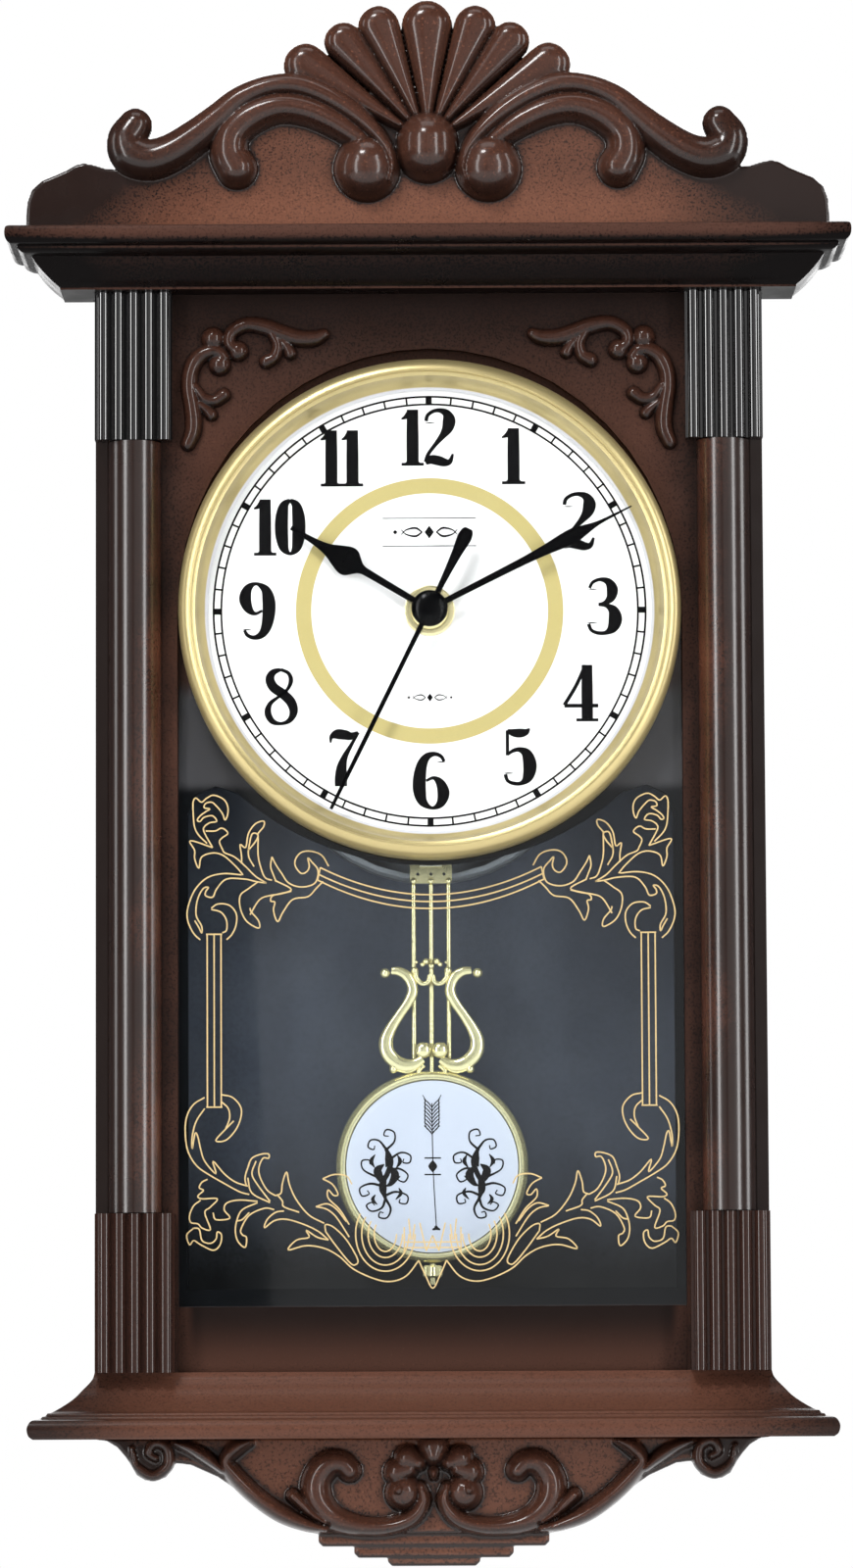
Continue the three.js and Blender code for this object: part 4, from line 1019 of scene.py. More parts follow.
# ---- dial ---------------------------------------------------------------------------------------
PRINT = 0.06
NUMERAL_HEIGHT = 20.8
NUMERAL_RADIUS = 62.9
NUMERAL_RISE = 0.8
NUMERAL_TURN = -0.5
NUMERAL_WEIGHT = 1.32
TRACK_OUTER = 78.5
TRACK_INNER = 75.7
TRACK_LINE = 0.7
MINUTE_MARK = 0.66
HOUR_MARK = 2.2
NAME_RULES = (184.6, 194.8)
NAME_RULE_HALF = 17
NAME_RULE_WIDTH = 0.32
# The drop and the size of the two small ornaments.
ORNAMENTS = ((189.7, 1.0), (250.2, 0.62))
LAYER = 0.01
GOLD_BAND = (43, 48.6)

# Strokes of a tall narrow figure: (across, up, width) from the middle of its foot, in figure heights.
FIGURE_STROKES = {
    "0": [[(0, 0.975, 0.045), (-0.1, 0.88, 0.12), (-0.14, 0.7, 0.165), (-0.15, 0.5, 0.175),
           (-0.14, 0.3, 0.165), (-0.1, 0.12, 0.12), (0, 0.025, 0.045), (0.1, 0.12, 0.12),
           (0.14, 0.3, 0.165), (0.15, 0.5, 0.175), (0.14, 0.7, 0.165), (0.1, 0.88, 0.12),
           (0, 0.975, 0.045)]],
    "1": [[(0.01, 0.985, 0.15), (0.01, 0.5, 0.16), (0.01, 0.02, 0.16)],
          [(-0.16, 0.82, 0.02), (-0.09, 0.86, 0.06), (-0.02, 0.95, 0.09)],
          [(-0.16, 0.02, 0.04), (0.18, 0.02, 0.04)],
          [(-0.1, 0.035, 0.02), (0.01, 0.07, 0.09), (0.12, 0.035, 0.02)]],
    "2": [[(-0.12, 0.74, 0.03), (-0.12, 0.75, 0.14), (-0.12, 0.76, 0.03)],
          [(-0.17, 0.78, 0.05), (-0.15, 0.88, 0.05), (-0.08, 0.95, 0.05), (0.01, 0.97, 0.06),
           (0.1, 0.92, 0.11), (0.14, 0.8, 0.17), (0.12, 0.66, 0.15), (0.05, 0.52, 0.09),
           (-0.05, 0.36, 0.055), (-0.14, 0.2, 0.05), (-0.18, 0.06, 0.05)],
          [(-0.18, 0.05, 0.07), (-0.1, 0.1, 0.12), (0, 0.08, 0.13), (0.08, 0.05, 0.11), (0.15, 0.07, 0.07),
           (0.19, 0.2, 0.03)]],
    "3": [[(-0.12, 0.79, 0.03), (-0.12, 0.8, 0.13), (-0.12, 0.81, 0.03)],
          [(-0.16, 0.82, 0.04), (-0.12, 0.92, 0.045), (-0.03, 0.97, 0.05), (0.07, 0.93, 0.1),
           (0.12, 0.8, 0.15), (0.1, 0.65, 0.12), (0.03, 0.56, 0.06), (-0.05, 0.53, 0.04)],
          [(-0.05, 0.53, 0.04), (0.05, 0.51, 0.06), (0.13, 0.42, 0.14), (0.155, 0.27, 0.18),
           (0.12, 0.12, 0.14), (0.04, 0.035, 0.06), (-0.06, 0.03, 0.05), (-0.14, 0.08, 0.045),
           (-0.175, 0.19, 0.05)],
          [(-0.13, 0.2, 0.03), (-0.13, 0.21, 0.14), (-0.13, 0.22, 0.03)]],
    "4": [[(0.08, 0.985, 0.14), (0.08, 0.5, 0.15), (0.08, 0.02, 0.15)],
          [(0.06, 0.98, 0.05), (-0.06, 0.62, 0.05), (-0.21, 0.28, 0.05)],
          [(-0.21, 0.27, 0.05), (0.22, 0.27, 0.05)],
          [(-0.06, 0.02, 0.04), (0.22, 0.02, 0.04)]],
    "5": [[(-0.14, 0.96, 0.04), (-0.07, 0.92, 0.1), (0.02, 0.91, 0.12), (0.1, 0.93, 0.09),
           (0.15, 0.99, 0.02)],
          [(-0.14, 0.96, 0.045), (-0.14, 0.52, 0.045)],
          [(-0.14, 0.53, 0.03), (-0.07, 0.6, 0.05), (0.02, 0.62, 0.07), (0.11, 0.54, 0.14),
           (0.15, 0.34, 0.18), (0.12, 0.14, 0.14), (0.04, 0.035, 0.06), (-0.06, 0.03, 0.05),
           (-0.14, 0.08, 0.045), (-0.17, 0.19, 0.05)],
          [(-0.125, 0.2, 0.03), (-0.125, 0.21, 0.14), (-0.125, 0.22, 0.03)]],
    "6": [[(0.15, 0.84, 0.04), (0.11, 0.93, 0.05), (0.03, 0.97, 0.06), (-0.06, 0.92, 0.1),
           (-0.12, 0.78, 0.14), (-0.15, 0.55, 0.17), (-0.15, 0.32, 0.17), (-0.11, 0.13, 0.12),
           (0, 0.025, 0.045), (0.1, 0.1, 0.11), (0.14, 0.28, 0.16), (0.1, 0.46, 0.12), (0.02, 0.55, 0.05),
           (-0.07, 0.5, 0.035)],
          [(0.115, 0.82, 0.03), (0.115, 0.83, 0.12), (0.115, 0.84, 0.03)]],
    "7": [[(-0.18, 0.78, 0.02), (-0.17, 0.88, 0.06), (-0.1, 0.93, 0.13), (0, 0.92, 0.13), (0.08, 0.9, 0.1),
           (0.17, 0.96, 0.04)],
          [(0.17, 0.96, 0.04), (0.08, 0.74, 0.05), (0, 0.54, 0.08), (-0.04, 0.36, 0.13), (-0.05, 0.18, 0.16),
           (-0.05, 0.02, 0.16)]],
    "8": [[(0, 0.975, 0.045), (-0.09, 0.92, 0.09), (-0.125, 0.8, 0.12), (-0.08, 0.66, 0.13),
           (0.03, 0.54, 0.13), (0.12, 0.4, 0.13), (0.15, 0.23, 0.11), (0.1, 0.08, 0.07), (0, 0.025, 0.045),
           (-0.1, 0.07, 0.08), (-0.15, 0.22, 0.09), (-0.12, 0.38, 0.06), (-0.02, 0.5, 0.04),
           (0.08, 0.63, 0.045), (0.12, 0.78, 0.06), (0.09, 0.91, 0.05), (0, 0.975, 0.045)]],
}
FIGURE_STROKES["9"] = [
    [(-across, 1 - up, width) for across, up, width in stroke] for stroke in FIGURE_STROKES["6"]]
# For each hour, how far it stands above its place, then its figures with their shift and spread.
NUMERALS = {
    1: (1.2, [("1", -0.02, 1.2)]), 2: (0, [("2", 0, 1.42)]), 3: (0, [("3", 0, 1.42)]),
    4: (0, [("4", 0, 1.38)]), 5: (0, [("5", 0, 1.35)]), 6: (0, [("6", 0, 1.44)]),
    7: (0, [("7", 0, 1.38)]), 8: (0, [("8", 0, 1.5)]), 9: (0, [("9", 0, 1.42)]),
    10: (-0.8, [("1", -0.25, 1.15), ("0", 0.2, 1.02)]),
    11: (1.2, [("1", -0.185, 1.1), ("1", 0.185, 1.1)]),
    12: (0, [("1", -0.27, 1.15), ("2", 0.2, 1.3)]),
}


def disc_outline(x, drop, radius, segments=24):
    turns = [2 * math.pi * step / segments for step in range(segments)]
    return [(x + radius * math.cos(turn), drop + radius * math.sin(turn)) for turn in turns]


def dial_print():
    """Numerals, minute track and two small ornaments, each stroke a hair above the last."""
    shape = Shape()
    for hour, (lift, figures) in NUMERALS.items():
        angle = math.radians(30 * hour + NUMERAL_TURN)
        rise = NUMERAL_RISE + lift
        middle = (NUMERAL_RADIUS * math.sin(angle), CENTRE - rise - NUMERAL_RADIUS * math.cos(angle))
        for figure, shift, spread in figures:
            for layer, stroke in enumerate(FIGURE_STROKES[figure]):
                rows = spline(stroke, 7) * NUMERAL_HEIGHT
                rows[:, 0] *= spread
                rows[:, 2] *= NUMERAL_WEIGHT
                rows[:, 0] += middle[0] + shift * NUMERAL_HEIGHT
                rows[:, 1] = middle[1] + NUMERAL_HEIGHT / 2 - rows[:, 1]
                shape.line(rows, DIAL.front, DIAL.front + PRINT + LAYER * layer)
    for radius in (TRACK_OUTER, TRACK_INNER):
        low, high = DIAL.front, DIAL.front + PRINT
        ring = [(radius - TRACK_LINE / 2, low), (radius + TRACK_LINE / 2, low)]
        shape.lathe([*ring, (radius + TRACK_LINE / 2, high), (radius - TRACK_LINE / 2, high)])
    for minute in range(60):
        angle = math.radians(6 * minute)
        width = MINUTE_MARK if minute % 5 else HOUR_MARK
        ends = (TRACK_INNER, TRACK_OUTER)
        rows = [(reach * math.sin(angle), CENTRE - reach * math.cos(angle), width) for reach in ends]
        shape.line(rows, DIAL.front, DIAL.front + PRINT + LAYER)
    for drop in NAME_RULES:
        rows = [(side * NAME_RULE_HALF, drop, NAME_RULE_WIDTH) for side in SIDES]
        shape.line(rows, DIAL.front, DIAL.front + PRINT)
    for drop, size in ORNAMENTS:
        ornament(shape, drop, size)
    make_piece("dial_print", shape, INK)


def ornament(shape, drop, size):
    """A plain leaf-and-scroll flourish, the same on both sides of a small lozenge."""
    front = DIAL.front + PRINT
    shape.prism([(x * size, drop + y * size) for x, y in ((0, -2.4), (1.7, 0), (0, 2.4), (-1.7, 0))],
                DIAL.front, front)
    for side in SIDES:
        for swirl, lift in ((1, 0), (-1, LAYER)):
            rows = [(2.6, 0, 0.5), (5, -1.5 * swirl, 0.8), (8.4, -0.8 * swirl, 0.5),
                    (10.2, 0.9 * swirl, 0.3)]
            rows = [(side * x * size, drop + y * size, width * size) for x, y, width in rows]
            shape.line(spline(rows), DIAL.front, front + lift)
        shape.prism(disc_outline(side * 12.4 * size, drop, 0.7 * size), DIAL.front, front)


def dial_band():
    low, high = DIAL.front, DIAL.front + PRINT
    inner, outer = GOLD_BAND
    shape = Shape()
    shape.lathe([(inner, low), (outer, low), (outer, high), (inner, high)])
    make_piece("dial_gold_band", shape, DIAL_GOLD)


# The turned ring, as (distance in from its edge, depth).
BEZEL_PROFILE = [
    (0, 58.6), (0.1, 60.6), (0.7, 62.4), (1.9, 63.9), (3.2, 64.8), (4.1, 65), (4.7, 64.3), (4.9, 62.7),
    (5.6, 62.5), (6.2, 62.2), (6.6, 60.6), (7.2, 57.8), (8.4, 55.4), (9.8, 54), (10.4, 53.5),
]
BEZEL_WIDTH = 10.4


def bezel():
    outer = BEZEL.half
    turned = [(outer - inset, depth) for inset, depth in BEZEL_PROFILE]
    shape = Shape()
    shape.lathe([(outer, BEZEL.back), *turned, (outer - BEZEL_WIDTH, BEZEL.back)], segments=240)
    make_piece("bezel_turned", shape, BEZEL_GOLD, nodes=["bezel_ring"])


# ---- hands --------------------------------------------------------------------------------------
BLADE = 0.6
HUB_WALL = 2.4
HUB_CHAMFER = 0.25
NUT_BORE = 4.3
# The second hand's domed cap, as (distance in from the hub's edge, depth).
CAP_PROFILE = [(0, 60.2), (0.6, 60.9), (1.8, 61.5), (3.4, 62)]
# Each blade is rows of (across, out, width) from its axis, with its angle clockwise from twelve.
HAND_SHAPES = {
    "hour_hand": {
        "body": "hour_train", "angle": 301, "hub": 5.4,
        "rows": [(0, 0, 2.2), (0, 24, 2.7), (0, 28.6, 3.4), (0, 30.6, 6), (0, 33, 10), (0, 35.6, 10.6),
                 (0, 39, 8), (0, 42.6, 4.8), (0, 46.4, 3), (0, 51, 2.1), (0, 55, 1.8), (0, 58.6, 1.5)],
    },
    "minute_hand": {
        "body": "minute_train", "angle": 63.1, "hub": 4.6,
        "rows": [(0, 0, 2), (0, 34, 2.7), (0, 46, 3.6), (0, 55, 5.2), (0, 59.4, 5.3), (0, 63, 3.8),
                 (0, 68.6, 1.6), (0, 76, 0.9), (0, 82.4, 0.5)],
    },
    "second_hand": {
        "body": "second_train", "angle": 206.3, "hub": 6.6,
        "rows": [(0, -32.4, 2.8), (0, -31.2, 4.4), (0, -29, 5.2), (0, -26.6, 4.8), (0, -21, 3.5),
                 (0, -10, 2.2), (0, 0, 2), (0, 20, 1.7), (0, 60, 1.6), (0, 81.2, 1.2)],
    },
}


def hand(node, body, angle, hub, rows):
    """A flat blade with a hub, drawn up from its axis and turned clockwise by the angle."""
    box = Extent(node)
    turn = math.radians(angle)
    blade_front = box.back + BLADE
    placed = []
    for across, out, width in spline(rows, 7):
        x = across * math.cos(turn) + out * math.sin(turn)
        placed.append((x, CENTRE + across * math.sin(turn) - out * math.cos(turn), width))
    shape = Shape()
    shape.line(placed, box.back, blade_front)
    if node == "second_hand":
        cap = [(hub - inset, depth) for inset, depth in CAP_PROFILE]
        shape.lathe([(0, box.back), (hub, box.back), *cap, (0, box.front)], segments=48)
    else:
        bore = hub - HUB_WALL
        top = box.front - 0.02
        shape.lathe([(bore, box.back), (hub, box.back), (hub, blade_front), (hub - HUB_CHAMFER, top),
                     (bore, top)], segments=48)
    make_piece(f"{node}_blade", shape, HAND_BLACK, body=body, nodes=[node])


def centre_nut():
    """A turned nut on its washer."""
    box = Extent("centre_nut")
    washer = box.half
    profile = [
        (NUT_BORE, box.back), (washer - 0.4, box.back), (washer, box.back + 0.25),
        (washer - 0.1, box.back + 0.6), (washer - 1, box.back + 0.9), (6.8, box.back + 0.8),
        (6.6, box.front - 0.5), (6, box.front), (NUT_BORE, box.front),
    ]
    shape = Shape()
    shape.lathe(profile, segments=64)
    make_piece("centre_nut_turned", shape, BRASS, nodes=["centre_nut"])


# ---- gold line ornament on the pane -------------------------------------------------------------
LINE_WIDTH = 0.52
LINE_RELIEF = 0.1
LINE_LAYER = 0.004
LINE_LAYERS = 8

# The left half of the ornament, each line a run of (x, drop); the right half is its mirror image.
UPPER_BUD = [
    [(-79, 304.5), (-87, 302), (-85.5, 305.5), (-85.5, 308.5), (-84, 312), (-83, 308), (-79, 306.5),
     (-75, 307.5), (-70.5, 311.5), (-68, 314.5)],
    [(-79, 304.5), (-82, 299), (-82, 297), (-80, 295.5), (-77.5, 295), (-79, 293), (-82, 293.5),
     (-83.5, 295), (-84.5, 294.5), (-83.5, 293), (-81.5, 291.5), (-80, 290.5), (-82, 290),
     (-81.5, 288.5), (-79.5, 288), (-78, 289), (-75.5, 292), (-74.5, 294.5), (-73.5, 292.5),
     (-73.5, 289.5), (-75, 287), (-78.5, 285.5), (-81, 286.5), (-83, 288), (-85, 286.5), (-86, 288),
     (-86, 292), (-85.5, 297), (-84, 300), (-81, 303)],
    [(-81.5, 298.5), (-78, 298.5), (-76, 297.5), (-74.5, 298), (-73.5, 299.5), (-75.5, 301),
     (-76.5, 302.5), (-75.5, 305), (-74.5, 306.5), (-71, 308), (-67, 311.5), (-63.5, 315), (-59.5, 317.5)],
]
UPPER_LEAVES = [
    [(-68.5, 310.5), (-68.5, 307.5), (-69, 303.5), (-67, 304.5), (-66, 299.5), (-63.5, 296), (-60.5, 295),
     (-60.5, 297), (-62.5, 299.5), (-62.5, 301), (-62.5, 307.5), (-61.5, 312), (-60, 315.5), (-57.5, 316.5)],
    [(-64, 311.5), (-66, 307.5), (-65.5, 302.5), (-64.5, 299.5), (-62.5, 300), (-63.5, 302.5), (-66, 305.5)],
    [(-62.5, 317), (-66, 319.5), (-69, 322), (-69, 326.5), (-67, 331), (-63.5, 333.5), (-62, 333.5),
     (-62.5, 331), (-65, 328), (-65.5, 326.5)],
    [(-65.5, 329), (-62, 323.5), (-58, 322), (-54.5, 321.5), (-50.5, 320.5)],
    [(-56.5, 316.5), (-50.5, 320), (-57, 322), (-58, 324), (-56.5, 324.5), (-57, 327.5), (-55.5, 331.5),
     (-53.5, 328), (-50, 323.5), (-44.5, 322.5), (-41.5, 319.5), (-39, 317)],
    [(-57.5, 308), (-58, 311.5), (-57, 314.5), (-56, 317)],
]
UPPER_SCROLLS = [
    [(-68.5, 314.5), (-75, 314), (-81, 315.5), (-85.5, 320), (-88, 326.5), (-88, 331), (-86, 335.5),
     (-83.5, 338)],
    [(-59.5, 317.5), (-63, 317), (-67.5, 316), (-74, 316), (-77.5, 319.5), (-79, 322.5), (-81.5, 322),
     (-81.5, 320.5), (-80.5, 319), (-82.5, 319.5), (-84.5, 323.5), (-85, 329), (-83, 333), (-83, 335.5),
     (-84, 333.5), (-85.5, 331)],
    [(-79.5, 326.5), (-77, 325), (-73, 325.5), (-70.5, 328.5), (-70.5, 332.5), (-72, 336), (-74, 338)],
    [(-79.5, 327), (-76, 328), (-74, 331), (-74, 334.5), (-75.5, 335.5)],
    [(-57.5, 308), (-56, 311), (-54, 314), (-51.5, 317.5), (-47, 319), (-42.5, 318), (-41, 315.5),
     (-41, 312.5), (-43, 310), (-44.5, 308.5), (-44, 311.5), (-45, 313.5), (-47, 314), (-49, 311.5),
     (-49, 309), (-47, 306.5), (-43.5, 306), (-39.5, 307.5), (-37, 311.5)],
]
LOWER_SCROLLS = [
    [(-82, 395), (-86, 397.5), (-88.5, 402), (-89, 408), (-88, 414.5), (-85, 419.5), (-81, 422.5),
     (-75, 426), (-69.5, 429), (-66, 430)],
    [(-82, 399), (-85, 403.5), (-86.5, 409), (-86.5, 413.5), (-85.5, 408), (-84.5, 409), (-83.5, 413.5),
     (-82, 418), (-78, 422.5), (-79, 418), (-75, 422.5), (-71, 425.5), (-66.5, 427)],
    [(-76, 394), (-72, 395), (-69, 398.5), (-69, 402.5), (-71, 407), (-74.5, 410.5), (-78, 410.5),
     (-74.5, 406.5), (-71.5, 403.5)],
    [(-76, 396.5), (-73.5, 399), (-73, 402.5), (-74.5, 406.5)],
]
LOWER_LEAVES = [
    [(-67, 427), (-67.5, 424), (-66.5, 420.5), (-65, 417), (-61.5, 415.5), (-59, 415.5), (-59, 417),
     (-61, 417), (-62.5, 420.5), (-62, 424), (-59.5, 428.5), (-56.5, 430.5)],
    [(-63.5, 418), (-65, 422.5), (-63, 426.5), (-58.5, 432.5)],
    [(-66.5, 424), (-65, 429.5), (-58.5, 433)],
    [(-56.5, 430.5), (-54.5, 429.5), (-54, 426), (-52.5, 422), (-51.5, 426.5), (-49, 432),
     (-44.5, 437.5), (-39, 440.5)],
    [(-56, 430), (-54, 432.5), (-53.5, 434.5), (-48, 436.5)],
    [(-53.5, 436), (-56.5, 436.5), (-59.5, 439), (-60.5, 442), (-57, 439.5), (-52.5, 439), (-46, 441),
     (-41, 443.5), (-37.5, 446.5)],
    [(-38.5, 443.5), (-38.5, 441), (-35.5, 442), (-31, 446.5), (-27, 453.5), (-28, 455.5), (-30, 454.5),
     (-34.5, 449), (-38.5, 443.5)],
    [(-37.5, 446.5), (-41.5, 445.5), (-45.5, 443), (-44.5, 445.5), (-49, 446.5), (-52, 450),
     (-45.5, 448.5), (-39, 449.5), (-33.5, 452.5), (-28.5, 457), (-21, 460.5), (-15, 461.5),
     (-9.5, 459.5), (-5, 454)],
]
LOWER_BUD = [
    [(-81, 424.5), (-83, 425.5), (-84, 427.5), (-82.5, 428.5), (-84.5, 430.5), (-83, 431.5),
     (-77.5, 431.5), (-80, 434.5), (-82, 436.5), (-80, 442.5), (-83, 442), (-84.5, 440.5), (-87, 440),
     (-87.5, 437.5), (-86, 434), (-83.5, 432)],
    [(-79, 436.5), (-78, 439), (-73, 438.5), (-75, 435.5), (-74, 433), (-69.5, 432), (-63, 432.5)],
    [(-86, 442), (-88.5, 444.5), (-87.5, 448), (-86, 446.5), (-83.5, 448), (-79, 450), (-76.5, 448),
     (-76, 444.5), (-77.5, 443.5), (-78, 446), (-80, 447.5), (-83, 446.5), (-84, 442.5), (-86, 442)],
    [(-63, 433), (-68.5, 435.5), (-70.5, 439.5), (-71, 443.5), (-70, 447), (-67.5, 449), (-67, 445.5),
     (-68.5, 444.5), (-69, 442.5), (-66, 437.5), (-60.5, 435), (-57, 435.5)],
    [(-70.5, 439.5), (-68.5, 439), (-66, 436.5)],
]
FAN = [
    [(-39.5, 424.5), (-35.5, 423), (-31, 423.5), (-29, 426.5)],
    [(-39.5, 424.5), (-36, 426.5), (-34, 430), (-35.5, 430.5), (-37.5, 428.5), (-37.5, 431.5),
     (-33.5, 435.5), (-30, 441)],
    [(-42, 434.5), (-38, 433.5), (-34.5, 435.5), (-31, 440)],
    [(-42, 434.5), (-38, 435.5), (-34.5, 438.5), (-30, 445.5)],
]
SWAG_STARTS = [(-40, 312), (-40.5, 314.5), (-41, 316.5)]
SWAG_DEPTHS = (322, 324.5, 327)
BARS = (-81, -78.5, -76)
BAR_END = 0.4
BAR_TOP = 336
BAR_BOTTOM = 398.5
OVAL_X = -17
OVAL_DROP = 444.5
OVALS = ((10.7, 13.3), (8.5, 11.1), (6.2, 8.4), (4, 6.2))
CENTRE_DROP = [(-5, 454), (-2.6, 459.4), (0, 464), (2.6, 459.4), (5, 454)]
CENTREPIECE = [
    [(-10.2, 442), (-10.2, 451)], [(-8.6, 439), (-7.8, 446.6)], [(-6.4, 441), (-7.2, 446.6)],
    [(-10.2, 447.4), (0, 447.4)], [(-10.2, 449.4), (0, 449.4)],
    [(-4.6, 440.5), (-2.3, 450.6)], [(-2.3, 450.6), (0, 445)],
]


def swag(start, depth):
    """Half a hanging curve: steep at its start, level at the middle of the pane."""
    x, drop = start
    shares = [step / 10 for step in range(11)]
    return [(x * (1 - t), drop + (depth - drop) * (1 - (1 - t) ** 2)) for t in shares]


def half_oval(wide, tall):
    turns = [math.pi * step / 16 for step in range(-3, 17)]
    return [(OVAL_X - wide * math.cos(t), OVAL_DROP + tall * math.sin(t)) for t in turns]


def pane_lines():
    """The ornament printed on the front of the pane, lines crossing a hair above each other."""
    curves = [*UPPER_BUD, *UPPER_LEAVES, *UPPER_SCROLLS, *LOWER_SCROLLS, *LOWER_LEAVES, *LOWER_BUD, *FAN]
    curves += [swag(start, depth) for start, depth in zip(SWAG_STARTS, SWAG_DEPTHS)]
    curves += [half_oval(*size) for size in OVALS]
    bars = [[(x, BAR_TOP), (x, BAR_BOTTOM)] for x in BARS]
    bars += [[(BARS[0] - BAR_END, drop), (BARS[-1] + BAR_END, drop)] for drop in (BAR_TOP, BAR_BOTTOM)]
    bars += [[SWAG_STARTS[0], SWAG_STARTS[-1]], *CENTREPIECE]
    lines = [spline(rows, 5) for rows in curves] + [np.array(rows, float) for rows in bars]
    shape = Shape()
    for layer, rows in enumerate(lines):
        front = PANE.front + LINE_RELIEF + LINE_LAYER * (layer % LINE_LAYERS)
        rows = np.column_stack([rows, np.full(len(rows), LINE_WIDTH)])
        for part in (rows, mirrored(rows)):
            shape.line(part, PANE.front, front)
    drop = spline(CENTRE_DROP, 5)
    drop = np.column_stack([drop, np.full(len(drop), LINE_WIDTH)])
    shape.line(drop, PANE.front, PANE.front + LINE_RELIEF)
    make_piece("pane_line_ornament", shape, LINE_GOLD)


# ---- pendulum -----------------------------------------------------------------------------------
ROD_X = (-6.4, 0, 6.4)
ROD_TIP = 0.3
HANGER_CORNER = 1.2
BOSS_RADIUS = 1.3
HOLE_RADIUS = 0.55


def hanger():
    """The plate the rods hang from, with bosses and black discs painted as hole shade near its lower edge.
    """
    left, right, top, bottom = HANGER.left, HANGER.right, HANGER.top, HANGER.bottom
    cut = HANGER_CORNER
    outline = [
        (left, top + cut), (left + cut, top), (right - cut, top), (right, top + cut),
        (right, bottom - cut), (right - cut, bottom), (left + cut, bottom), (left, bottom - cut),
    ]
    shape = Shape()
    shape.prism(outline, HANGER.back, HANGER.front - 0.1)
    hole_shade = Shape()
    middle = HANGER.back + 0.4
    for x in ROD_X:
        shape.ball(x, middle, bottom - 1, BOSS_RADIUS)
        hole_shade.prism(disc_outline(x * 0.75, bottom - 3.4, HOLE_RADIUS), middle, HANGER.front)
    make_piece("hanger_plate_pressed", shape, BRASS, body="pendulum",
               nodes=["pendulum_hanger"])
    make_piece("hanger_hole_shade", hole_shade, BLACK_PLASTIC, body="pendulum")


def rods():
    for node in ("pendulum_rod_left", "pendulum_rod_middle", "pendulum_rod_right"):
        box = Extent(node)
        depth = (box.back + box.front) / 2
        shape = Shape()
        ends = [(box.top, ROD_TIP), (box.top + ROD_TIP, 0), (box.bottom - ROD_TIP, 0), (box.bottom, ROD_TIP)]
        shape.tube([(box.x, depth, drop, box.half - inset) for drop, inset in ends])
        make_piece(f"{node}_drawn", shape, BRASS, body="pendulum", nodes=[node])


LYRE_ARM = [
    (-14.6, 348.3, 1.2), (-11.6, 348.6, 1.5), (-8.8, 350.4, 1.7), (-7.2, 353.4, 1.7), (-7, 356.4, 1.8),
    (-8.8, 360.2, 1.6), (-12, 364.8, 1.6), (-15, 369.6, 1.9), (-16.6, 373.8, 2.3), (-16.2, 377.8, 2.4),
    (-13.8, 381, 2.4), (-10.4, 382.8, 2.3), (-6.6, 382.6, 1.9), (-3.2, 380.6, 1.3),
]
LYRE_FULLNESS = 1.12
LYRE_LINK = [(-5.7, 348.4, 0.9), (-5.5, 350.8, 0.85), (-3.4, 353, 0.8), (-1.2, 352.4, 0.8), (-0.6, 350, 0.8)]
STAYS = [
    [(-4.4, 381.6, 0.7), (-6, 384, 0.65), (-8.8, 385.2, 0.6), (-13, 384.2, 0.7)],
    [(-2.8, 382.8, 0.7), (-4.6, 384.6, 0.7), (-4.8, 386, 0.8)],
]
# The balls of the left side, as (x, drop, radius).
LYRE_BALLS = [
    (-16.9, 349.2, 1.85), (-6.1, 348.2, 1.4), (-14, 384.2, 1.6), (-3.1, 377.4, 3), (-2, 344.9, 1.2),
    (-3.2, 346, 0.9), (-5.4, 345.2, 0.6),
]


def flatten(shape, start, depth, reach):
    """Presses the points added since start to within reach of a depth, keeping them round."""
    added = shape.points[start:]
    widest = max(abs(point[1] - depth) for point in added)
    scale = min(1, reach / widest)
    shape.points[start:] = [(x, depth + (out - depth) * scale, drop) for x, out, drop in added]


def lyre():
    depth = (LYRE.back + LYRE.front) / 2
    shape = Shape()
    for rows in (LYRE_ARM, LYRE_LINK, *STAYS):
        rows = spline(rows, 16)
        for side in (rows, mirrored(rows)):
            x, drop, radius = side.T
            path = np.column_stack([x, np.full(len(side), depth), drop, LYRE_FULLNESS * radius])
            start = len(shape.points)
            shape.tube(path, sides=20)
            flatten(shape, start, depth, LYRE.front - depth)
    for x, drop, radius in LYRE_BALLS:
        for side in SIDES:
            start = len(shape.points)
            shape.ball(side * x, depth, drop, radius)
            flatten(shape, start, depth, LYRE.front - depth + 0.3)
    shape.ball(0, depth, 346.6, 1.1)
    shape.tube([(0, depth, 380, 0.8), (0, depth, 385.6, 0.8)])
    make_piece("lyre_cast", shape, BRASS, body="pendulum",
               nodes=["pendulum_lyre"])


DOME_RISE = 3.1
DOME_SPAN = 0.93
ARROW_TOP = 26
BARBS = 8
BARB_PITCH = 1.4
